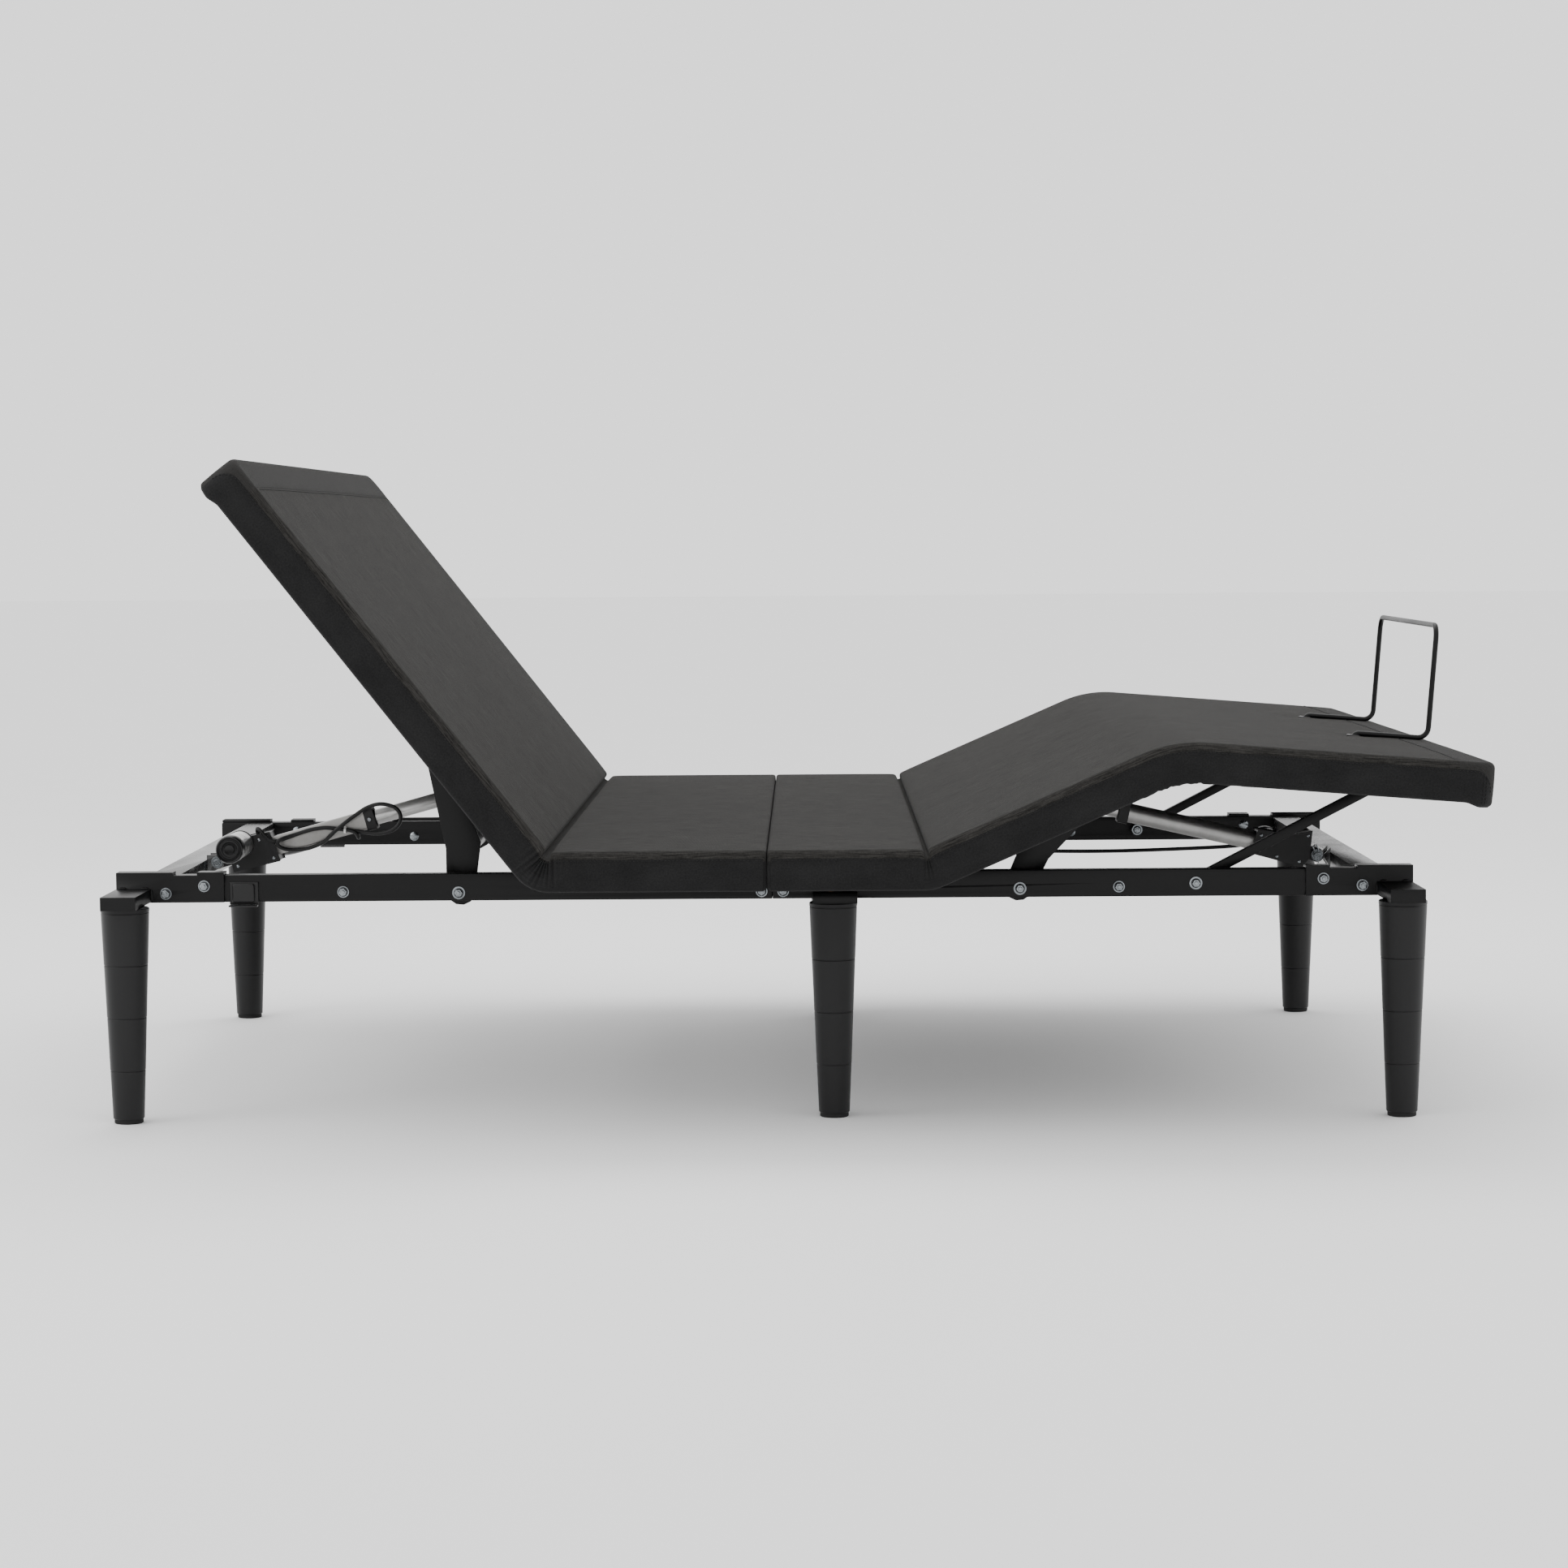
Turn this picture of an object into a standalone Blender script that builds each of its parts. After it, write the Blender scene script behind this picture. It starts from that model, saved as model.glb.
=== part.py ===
"""Queen adjustable bed base: two-piece steel frame on six stacked legs, with a hinged head
panel and a hinged thigh and calf panel, each raised by a linear actuator and a lift arm.

World frame: +X to the foot end, +Z up, Y across the bed, floor at Z = 0. The base stands
with its head and knees raised. Panels are drawn flat and turned about their hinges."""

import math

import bmesh
import bpy
from mathutils import Matrix, Vector

# Driving dimensions, in metres and degrees.
HALF_WIDTH = 0.762
DECK_TOP = 0.405
DECK_BOTTOM = 0.349
SLAB = 0.035
PAD = 0.020
HINGE_DROP = 0.045
HEAD_UP = 51.9
THIGH_UP = 23.5
KNEE_BEND = 28.0
HEAD_SPARE = 3.1
THIGH_SPARE = 6.5
CREASE_HEAD = -0.3278
SEAT_GAP = -0.0288
CREASE_THIGH = 0.1888
HEAD_LENGTH = 0.6895
THIGH_LENGTH = 0.3697
CALF_LENGTH = 0.4455

RAIL_TOP = 0.3487
RAIL_BOTTOM = 0.3095
RAIL_OUTER = 0.480
RAIL_INNER = 0.455
RAIL_HEAD_END = -0.9751
RAIL_FOOT_END = 0.9023
SPLICE = -0.0241
LEG_SEAMS = (0.2284, 0.1526, 0.0765)
LEG_X = (-0.9494, 0.8759)
LEG_Y = 0.5544
MID_LEG_X = 0.0634
MID_LEG_Y = 0.5317
LEG_TOP = 0.3101

ARM_HEAD = (-0.4788, 0.3209)
ARM_FOOT = (0.3343, 0.3222)
LINK_FOOT = (0.5888, 0.3285)
LINK_CALF = (0.85528, 0.46551)
LINK_CALF_FLAT = (0.88803, 0.34405)
ROLLER_HEAD = (-0.520, 0.5489)
ROLLER_FOOT = (0.444, 0.4513)
ROD_PIN_HEAD = (-0.508, 0.4430)
ROD_PIN_FOOT = (0.424, 0.430)
TUBE_HEAD = (-0.4770, 0.3860)
TUBE_FOOT = (0.3598, 0.3772)
ACTUATOR_HEAD = (-0.872, 0.3435)
ACTUATOR_FOOT = (0.801, 0.3440)
ACTUATOR_Y = -0.200

ARM_Y = 0.4425
ARM_PLATE = 0.005
LINK_Y = 0.4420
LINK_HALF = 0.007
RETAINER_Y = 0.260
RETAINER_R = 0.004
RETAINER_HOOK = 0.8810
RETAINER_X = 0.9925
RETAINER_HEIGHT = 0.1745
HINGE_Y = (-0.300, 0.300)
KNUCKLE_HALF = 0.0128
KNUCKLE_R = 0.0070
LEAF_HALF = 0.040
CABLE_R = 0.003

GAP = 0.0003
WALL = 0.002
EDGE = 0.0122
BOLT_R = 0.0038
HOLE_R = 0.0048
STUD_R = 0.0055
SIDES = 10


# ---------------------------------------------------------------- scene and tools
def clear_scene():
    for obj in list(bpy.data.objects):
        bpy.data.objects.remove(obj)
    parts = bpy.data.collections.new("adjustable_bed_base")
    tools = bpy.data.collections.new("cutters")
    tools.hide_render = True
    for collection in (parts, tools):
        bpy.context.scene.collection.children.link(collection)
    return parts, tools


PARTS, TOOLS = clear_scene()


def material(name, colour, roughness, metallic=0.0):
    made = bpy.data.materials.new(name)
    made.use_nodes = True
    shader = made.node_tree.nodes["Principled BSDF"]
    shader.inputs["Base Color"].default_value = (*colour, 1.0)
    shader.inputs["Roughness"].default_value = roughness
    shader.inputs["Metallic"].default_value = metallic
    return made


COAT = ((0.020, 0.020, 0.021), 0.35, 0.5)
ZINC = ((0.62, 0.63, 0.64), 0.30, 1.0)
SILVER = ((0.55, 0.55, 0.54), 0.35, 0.9)
LEG = ((0.030, 0.030, 0.032), 0.45, 0.0)
RUBBER = ((0.015, 0.015, 0.015), 0.8, 0.0)
BLACK = ((0.018, 0.018, 0.019), 0.5, 0.0)
BOARD = ((0.10, 0.075, 0.05), 0.8, 0.0)
FABRIC = ((0.075, 0.073, 0.070), 0.95, 0.0)


def pivot(name, x, z, turn=0.0, parent=None):
    """An empty on a joint's axis, turned by `turn` degrees about +Y from the flat drawing."""
    empty = bpy.data.objects.new(name, None)
    PARTS.objects.link(empty)
    empty.location = (x, 0.0, z)
    empty.rotation_euler = (0.0, math.radians(turn), 0.0)
    empty.parent = parent
    return empty


def hold(obj, body):
    """Rides obj on a body's empty; its mesh is drawn in world or flat-deck coordinates."""
    if body is not None:
        flat = ORIGINS[body.name]
        obj.data.transform(Matrix.Translation((-flat[0], 0.0, -flat[1])))
        obj.parent = body


def as_object(name, bm, collection):
    bmesh.ops.recalc_face_normals(bm, faces=bm.faces)
    mesh = bpy.data.meshes.new(name)
    bm.to_mesh(mesh)
    bm.free()
    obj = bpy.data.objects.new(name, mesh)
    collection.objects.link(obj)
    return obj


def box(x0, x1, y0, y1, z0, z1):
    bm = bmesh.new()
    middle = Matrix.Translation(((x0 + x1) / 2, (y0 + y1) / 2, (z0 + z1) / 2))
    size = Matrix.Diagonal((x1 - x0, y1 - y0, z1 - z0, 1.0))
    bmesh.ops.create_cube(bm, size=1.0, matrix=middle @ size)
    return bm


def rod(start, end, radius, sides=SIDES):
    """A straight cylinder between two points."""
    a, b = Vector(start), Vector(end)
    turn = (b - a).to_track_quat("Z", "Y").to_matrix().to_4x4()
    bm = bmesh.new()
    bmesh.ops.create_cone(
        bm,
        cap_ends=True,
        segments=sides,
        radius1=radius,
        radius2=radius,
        depth=(b - a).length,
        matrix=Matrix.Translation((a + b) / 2) @ turn,
    )
    return bm


def across(x, z, y0, y1, radius, sides=SIDES):
    """A cylinder that lies across the bed."""
    return rod((x, y0, z), (x, y1, z), radius, sides)


def outline(points, y0, y1):
    """A flat XZ outline, as a filled 2D curve, made thick from y0 to y1."""
    curve = bpy.data.curves.new("outline", "CURVE")
    curve.dimensions = "2D"
    curve.fill_mode = "BOTH"
    curve.extrude = (y1 - y0) / 2
    spline = curve.splines.new("POLY")
    spline.points.add(len(points) - 1)
    spline.use_cyclic_u = True
    for point, (x, z) in zip(spline.points, points):
        point.co = (x, z, 0.0, 1.0)
    flat = bpy.data.objects.new("outline", curve)
    PARTS.objects.link(flat)
    graph = bpy.context.evaluated_depsgraph_get()
    mesh = bpy.data.meshes.new_from_object(flat.evaluated_get(graph))
    bpy.data.objects.remove(flat)
    upright = Matrix.Translation((0.0, (y0 + y1) / 2, 0.0)) @ Matrix.Rotation(math.radians(90), 4, "X")
    mesh.transform(upright)
    bm = bmesh.new()
    bm.from_mesh(mesh)
    bpy.data.meshes.remove(mesh)
    bmesh.ops.remove_doubles(bm, verts=bm.verts, dist=0.00001)
    return bm


def arc(x, z, radius, start, end, steps):
    """Points on an arc about (x, z), from one angle in degrees to another."""
    angles = [math.radians(start + (end - start) * i / steps) for i in range(steps + 1)]
    return [(x + radius * math.cos(a), z + radius * math.sin(a)) for a in angles]


def part(name, look, first, joined=(), cut=(), body=None, smooth=False):
    """One sub-part: a first shape, with shapes joined to it and cut from it by Booleans."""
    obj = as_object(name, first, PARTS)
    hold(obj, body)
    for kind, shapes in (("UNION", joined), ("DIFFERENCE", cut)):
        for shape in shapes:
            add_boolean(obj, kind, shape, body)
    finish(obj, look, smooth)
    return obj


def add_boolean(obj, kind, shape, body):
    helper = as_object(f"{obj.name}_{kind.lower()}", shape, TOOLS)
    helper.hide_render = True
    helper.display_type = "WIRE"
    hold(helper, body)
    modifier = obj.modifiers.new(helper.name, "BOOLEAN")
    modifier.operation = kind
    modifier.object = helper
    modifier.solver = "EXACT"


def finish(obj, look, smooth=False):
    obj.data.materials.append(material(obj.name, *look))
    if smooth:
        obj.data.shade_smooth()
        obj.data.set_sharp_from_angle(angle=math.radians(35))


def turned(name, look, profile, places, steps, body=None):
    """Copies of a turned shape: its profile runs from the top of the axis down to its foot."""
    mesh = bpy.data.meshes.new(name)
    edges = [(i, i + 1) for i in range(len(profile) - 1)]
    mesh.from_pydata([(r, 0.0, z) for r, z in profile], edges, [])
    made = []
    for label, place in places:
        obj = bpy.data.objects.new(label, mesh)
        PARTS.objects.link(obj)
        obj.location = place
        screw = obj.modifiers.new("turn", "SCREW")
        screw.axis = "Z"
        screw.steps = screw.render_steps = steps
        screw.use_merge_vertices = True
        screw.merge_threshold = 0.00005
        screw.use_smooth_shade = True
        obj.parent = body
        made.append(obj)
    mesh.materials.append(material(name, *look))
    return made


def wire(name, look, points, radius, body=None):
    """A round bar or cable: a bevelled curve through the points, with filled ends."""
    curve = bpy.data.curves.new(name, "CURVE")
    curve.dimensions = "3D"
    curve.bevel_depth = radius
    curve.bevel_resolution = 2
    curve.use_fill_caps = True
    spline = curve.splines.new("POLY")
    spline.points.add(len(points) - 1)
    spline.use_smooth = True
    for point, place in zip(spline.points, points):
        point.co = (*place, 1.0)
    obj = bpy.data.objects.new(name, curve)
    PARTS.objects.link(obj)
    hold(obj, body)
    curve.materials.append(material(name, *look))
    return obj


def smooth_path(knots, spacing):
    """Points a fixed spacing apart on the Catmull-Rom curve through the knots."""
    ends = [knots[0] * 2 - knots[1], *knots, knots[-1] * 2 - knots[-2]]
    fine = []
    for a, b, c, d in zip(ends, ends[1:], ends[2:], ends[3:]):
        for i in range(20):
            t = i / 20
            fine.append(
                0.5 * (2 * b + (c - a) * t + (2 * a - 5 * b + 4 * c - d) * t**2
                       + (3 * b - a - 3 * c + d) * t**3)
            )
    fine.append(knots[-1])
    points, walked = [fine[0]], 0.0
    for a, b in zip(fine, fine[1:]):
        walked += (b - a).length
        if walked >= spacing:
            points.append(b)
            walked = 0.0
    if (points[-1] - fine[-1]).length < spacing / 2:
        points.pop()
    points.append(fine[-1])
    return points


# ---------------------------------------------------------------- joint axes
HINGE_Z = DECK_TOP - HINGE_DROP


def lean(angle):
    """How far a fold of this half angle moves the top edge along the bed from the hinge."""
    return HINGE_DROP * math.tan(math.radians(angle))


HEAD_HINGE = CREASE_HEAD - lean(HEAD_UP / 2)
THIGH_HINGE = CREASE_THIGH + lean(THIGH_UP / 2)
KNEE_HINGE = THIGH_HINGE + lean(THIGH_UP / 2) + THIGH_LENGTH - lean(KNEE_BEND / 2)
HEAD_END = HEAD_HINGE - lean(HEAD_UP / 2) - HEAD_LENGTH
FOOT_END = KNEE_HINGE - lean(KNEE_BEND / 2) + CALF_LENGTH
HEAD_FOLD = (HEAD_UP + HEAD_SPARE) / 2 + 1.0
THIGH_FOLD = (THIGH_UP + THIGH_SPARE) / 2 + 1.0
KNEE_FOLD = (KNEE_BEND * (THIGH_UP + THIGH_SPARE) / THIGH_UP) / 2 + 1.0


def slope(a, b):
    return math.degrees(math.atan2(b[1] - a[1], b[0] - a[0]))


LINK_TURN = slope(LINK_FOOT, LINK_CALF)
HEAD_TILT = slope(ACTUATOR_HEAD, ROD_PIN_HEAD)
FOOT_TILT = slope(ROD_PIN_FOOT, ACTUATOR_FOOT)

HEAD = pivot("head_axis", HEAD_HINGE, HINGE_Z, HEAD_UP)
THIGH = pivot("thigh_axis", THIGH_HINGE, HINGE_Z, -THIGH_UP)
CALF = pivot("calf_axis", KNEE_HINGE - THIGH_HINGE, 0.0, KNEE_BEND, THIGH)
HEAD_ARM = pivot("head_lift_axis", *ARM_HEAD)
FOOT_ARM = pivot("foot_lift_axis", *ARM_FOOT)
FOOT_LINK = pivot("foot_link_axis", *LINK_FOOT, -LINK_TURN)
HEAD_ACT = pivot("head_actuator_axis", *ACTUATOR_HEAD, -HEAD_TILT)
FOOT_ACT = pivot("foot_actuator_axis", *ACTUATOR_FOOT, -FOOT_TILT)
ORIGINS = {
    "head_axis": (HEAD_HINGE, HINGE_Z),
    "thigh_axis": (THIGH_HINGE, HINGE_Z),
    "calf_axis": (KNEE_HINGE, HINGE_Z),
    "head_lift_axis": ARM_HEAD,
    "foot_lift_axis": ARM_FOOT,
    "foot_link_axis": (0.0, 0.0),
    "head_actuator_axis": (0.0, 0.0),
    "foot_actuator_axis": (0.0, 0.0),
}


# ---------------------------------------------------------------- steel frame
SADDLE_T = 0.004
SADDLE_TOP = 0.3533
SADDLE_Y = RAIL_OUTER + GAP
PLATE_Y = SADDLE_Y + SADDLE_T
NEAR_FAR = ((-1, "near"), (1, "far"))
CROSS_X = {"head": -0.909, "foot": 0.843}
CROSS_HALF = 0.022
# Bolts through the rails: place along the bed, height, and what they fasten.
CORNER_BOLTS = ((-0.9030, 0.3227), (-0.8474, 0.3333), (0.7726, 0.3345), (0.8289, 0.3245))
SPLICE_BOLTS = ((-0.0397, 0.3205), (-0.0086, 0.3205))
SPARE_BOLTS = ((-0.6464, 0.3234), (0.4775, 0.3240))


def mirrored(side, y0, y1):
    """A range of Y on one side of the bed, in rising order."""
    return (y0, y1) if side > 0 else (-y1, -y0)


def holes(side, spots, y0=0.40, y1=0.53):
    return [across(x, z, *mirrored(side, y0, y1), HOLE_R, 6) for x, z in spots]


def rails():
    spots = {
        "head": (*CORNER_BOLTS[:2], SPLICE_BOLTS[0], SPARE_BOLTS[0], ARM_HEAD),
        "foot": (*CORNER_BOLTS[2:], SPLICE_BOLTS[1], SPARE_BOLTS[1], ARM_FOOT, LINK_FOOT),
    }
    ends = {
        "head": (RAIL_HEAD_END, SPLICE - GAP / 2),
        "foot": (SPLICE + GAP / 2, RAIL_FOOT_END),
    }
    for side, where in NEAR_FAR:
        y0, y1 = mirrored(side, RAIL_INNER, RAIL_OUTER)
        for half, (x0, x1) in ends.items():
            bore = box(x0 - 0.01, x1 + 0.01, y0 + WALL, y1 - WALL,
                       RAIL_BOTTOM + WALL, RAIL_TOP - WALL)
            tube = box(x0, x1, y0, y1, RAIL_BOTTOM, RAIL_TOP)
            part(f"rail_{half}_{where}", COAT, tube, cut=[bore, *holes(side, spots[half])])


def cross_tubes():
    """End tubes with the clevis ears that hold the actuators, and two tubes under the seat."""
    reach = RAIL_INNER - GAP
    for half, (pin_x, pin_z), way in (("head", ACTUATOR_HEAD, 1), ("foot", ACTUATOR_FOOT, -1)):
        x = CROSS_X[half]
        half_wide, low, high = CROSS_HALF, RAIL_BOTTOM + 0.008, RAIL_TOP - 0.001
        tube = box(x - half_wide, x + half_wide, -reach, reach, low, high)
        bore = box(x - half_wide + WALL, x + half_wide - WALL, -0.5, 0.5, low + WALL, high - WALL)
        ears = []
        back = x + way * (half_wide - 0.001)
        for side in (-1, 1):
            y = ACTUATOR_Y + side * 0.0175
            nose = arc(pin_x, pin_z, 0.011, 90 * way, -90 * way, 6)
            ear = [(back, pin_z + 0.011), *nose, (back, pin_z - 0.020)]
            ears.append(outline(ear, y - 0.002, y + 0.002))
        cut = [bore, across(pin_x, pin_z, ACTUATOR_Y - 0.03, ACTUATOR_Y + 0.03, 0.0055, 8)]
        if half == "foot":
            # Relief notches, which the links drop into when the knees go down.
            for side in (-1, 1):
                cut.append(box(x - 0.03, x + 0.03, *mirrored(side, 0.4335, 0.46), 0.3325, 0.36))
        part(f"cross_tube_{half}", COAT, tube, joined=ears, cut=cut)


def splice_tube():
    """A cross tube at the splice, whose end plates bolt the two halves of the frame together."""
    reach = RAIL_INNER - GAP
    tube = box(SPLICE - 0.0125, SPLICE + 0.0125, -reach, reach, 0.3155, 0.3405)
    plates, spots = [], []
    for side, _ in NEAR_FAR:
        y0, y1 = mirrored(side, reach - 0.004, reach)
        plates.append(box(SPLICE - 0.040, SPLICE + 0.040, y0, y1, 0.3105, 0.3475))
        spots += holes(side, SPLICE_BOLTS, 0.445)
    part("splice_cross_tube", COAT, tube, joined=plates, cut=spots)


def outriggers():
    """Corner saddles: a plate over the rail's outer side, lips over its top and a leg tube."""
    spans = {
        "head": (RAIL_HEAD_END, -0.8188, -0.8930, -0.8577, LEG_X[0] - 0.0257, LEG_X[0] + 0.0246),
        "foot": (0.7475, RAIL_FOOT_END, 0.7819, 0.8218, LEG_X[1] - 0.0259, LEG_X[1] + 0.0241),
    }
    for half, (x0, x1, notch0, notch1, stub0, stub1) in spans.items():
        for side, where in NEAR_FAR:
            spots = CORNER_BOLTS[:2] if half == "head" else CORNER_BOLTS[2:]
            plate = box(x0, x1, *mirrored(side, SADDLE_Y, PLATE_Y), RAIL_BOTTOM, SADDLE_TOP)
            lips = box(x0, x1, *mirrored(side, RAIL_INNER + 0.001, PLATE_Y - 0.001),
                       RAIL_TOP + GAP, SADDLE_TOP - 0.0002)
            stub = box(stub0, stub1, *mirrored(side, PLATE_Y - 0.002, 0.6050), 0.3106, 0.3297)
            hollow = box(stub0 + 0.0025, stub1 - 0.0025, *mirrored(side, PLATE_Y + 0.002, 0.6025),
                         0.3131, 0.3272)
            notch = box(notch0, notch1, *mirrored(side, 0.44, 0.50), RAIL_TOP + 0.0001, 0.36)
            stud_hole = rod((LEG_X[half == "foot"], side * LEG_Y, 0.300),
                            (LEG_X[half == "foot"], side * LEG_Y, 0.320), 0.0062, 8)
            part(
                f"outrigger_{half}_{where}", COAT, plate, joined=[lips, stub],
                cut=[hollow, notch, stud_hole, *holes(side, spots)],
            )


def mid_leg_brackets():
    for side, where in NEAR_FAR:
        plate = box(0.036, 0.096, *mirrored(side, SADDLE_Y, SADDLE_Y + 0.003), 0.3106, 0.3470)
        shelf = box(0.034, 0.098, *mirrored(side, SADDLE_Y + 0.002, 0.5665), 0.3106, 0.3255)
        x, y = MID_LEG_X, side * MID_LEG_Y
        stud_hole = rod((x, y, 0.30), (x, y, 0.321), 0.0062, 8)
        part(f"mid_leg_bracket_{where}", COAT, plate, joined=[shelf], cut=[stud_hole])


def legs():
    """Stacked conical leg: a threaded stud on top, three seams and a foot pad below."""
    pad_z, top_r, foot_r = 0.0065, 0.0345, 0.0222

    def radius(z):
        return foot_r + (top_r - foot_r) * (z - pad_z) / (LEG_TOP - pad_z)

    stud_top = LEG_TOP + 0.009
    profile = [(0.0, stud_top), (STUD_R, stud_top), (STUD_R, LEG_TOP), (top_r, LEG_TOP)]
    for seam in LEG_SEAMS:
        for lift, depth in ((0.0012, 0.0), (0.0, 0.0015), (-0.0012, 0.0)):
            profile.append((radius(seam) - depth, seam + lift))
    profile += [(foot_r, pad_z), (foot_r - 0.0015, pad_z - 0.001), (foot_r - 0.0015, 0.0), (0.0, 0.0)]
    spots = []
    for side, where in NEAR_FAR:
        for x, end in zip(LEG_X, ("head", "foot")):
            spots.append((f"leg_{end}_{where}", (x, side * LEG_Y, 0.0)))
        spots.append((f"leg_mid_{where}", (MID_LEG_X, side * MID_LEG_Y, 0.0)))
    turned("leg", LEG, profile, spots, 18)


def pivot_bolts():
    """Hex bolts that the lift arms and links turn on: head and washer outside the rail, nut inside."""
    for name, (x, z), inner in (
        ("head_lift", ARM_HEAD, ARM_Y - ARM_PLATE / 2),
        ("foot_lift", ARM_FOOT, ARM_Y - ARM_PLATE / 2),
        ("foot_link", LINK_FOOT, LINK_Y - LINK_HALF),
    ):
        washer, head, nut = RAIL_OUTER + GAP, RAIL_OUTER + 0.0020, inner - GAP
        tip_r = BOLT_R - 0.0004
        profile = [
            (0.0, head + 0.0055), (0.0062, head + 0.0055), (0.0062, head), (0.0095, head),
            (0.0095, washer), (BOLT_R, washer), (BOLT_R, nut), (0.0075, nut),
            (0.0075, nut - 0.0065), (tip_r, nut - 0.0065), (tip_r, nut - 0.0100), (0.0, nut - 0.0100),
        ]
        for side, where in NEAR_FAR:
            label = f"{name}_bolt_{where}"
            made = turned(label, ZINC, profile, [(label, (x, 0.0, z))], 8)
            made[0].rotation_euler = (math.radians(-90 * side), 0.0, 0.0)


def control_box():
    case = box(0.000, 0.120, 0.10, 0.30, 0.3255, 0.3555)
    socket = box(0.050, 0.065, 0.09, 0.112, 0.3340, 0.3460)
    part("control_box", BLACK, case, cut=[socket])


# ---------------------------------------------------------------- lift arms and link
def lift_arm(name, body, axis, roller, roller_r, tube, tube_r, pin, bend):
    """Two arms welded to a torque tube, with rollers at their tips and levers for the rod.

    bend is how far the arms' two edges stand off the torque tube's centre."""
    reach = ARM_Y
    direction = math.radians(slope(axis, roller))
    normal = (-math.sin(direction), math.cos(direction))

    def beside(point, width):
        return (point[0] + normal[0] * width, point[1] + normal[1] * width)

    side_angle = math.degrees(direction)
    shape = [
        *arc(*axis, 0.0215, side_angle + 90, side_angle + 270, 6),
        beside(tube, -bend[0]),
        *arc(*roller, 0.014, side_angle - 90, side_angle + 90, 6),
        beside(tube, bend[1]),
    ]
    plates = []
    for side in (-1, 1):
        y0, y1 = side * reach - ARM_PLATE / 2, side * reach + ARM_PLATE / 2
        plates.append(outline(shape, y0, y1))
        inner, outer = mirrored(side, reach - 0.0220, reach - 0.001)
        plates.append(across(*roller, inner, outer, roller_r, 14))
    levers = []
    for side in (-1, 1):
        y = ACTUATOR_Y + side * 0.0145
        lever = [*arc(*pin, 0.014, slope(tube, pin) - 90, slope(tube, pin) + 90, 5),
                 *arc(*tube, tube_r + 0.006, slope(tube, pin) + 110, slope(tube, pin) + 250, 5)]
        levers.append(outline(lever, y - 0.0025, y + 0.0025))
    bar = across(*tube, -reach, reach, tube_r, 14)
    cut = [across(*axis, -0.5, 0.5, BOLT_R + GAP + 0.0004, 8)]
    part(name, COAT, bar, joined=[*plates, *levers], cut=cut, body=body, smooth=True)


def lift_arms():
    lift_arm("head_lift_arm", HEAD_ARM, ARM_HEAD, ROLLER_HEAD, 0.015, TUBE_HEAD, 0.019,
             ROD_PIN_HEAD, (0.0282, 0.0235))
    lift_arm("foot_lift_arm", FOOT_ARM, ARM_FOOT, ROLLER_FOOT, 0.013, TUBE_FOOT, 0.016,
             ROD_PIN_FOOT, (0.024, 0.0235))


def foot_links():
    """Square tubes from the rails up to the calf panel, with flattened bored ends."""
    length = math.dist(LINK_FOOT, LINK_CALF)
    for side, where in NEAR_FAR:
        y0, y1 = mirrored(side, LINK_Y - LINK_HALF, LINK_Y + LINK_HALF)
        bar = box(0.014, length - 0.014, y0, y1, -0.007, 0.007)
        ends = []
        for x, inward in ((0.0, 1), (length, -1)):
            ends.append(across(x, 0.0, y0 + 0.0005, y1 - 0.0005, 0.0105, 12))
            neck = sorted((x + inward * 0.002, x + inward * 0.020))
            ends.append(box(*neck, y0 + 0.001, y1 - 0.001, -0.0065, 0.0065))
        bore = across(0.0, 0.0, -0.5, 0.5, BOLT_R + GAP + 0.0004, 8)
        part(f"foot_link_{where}", COAT, bar, joined=ends, cut=[bore], body=FOOT_LINK)


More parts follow.
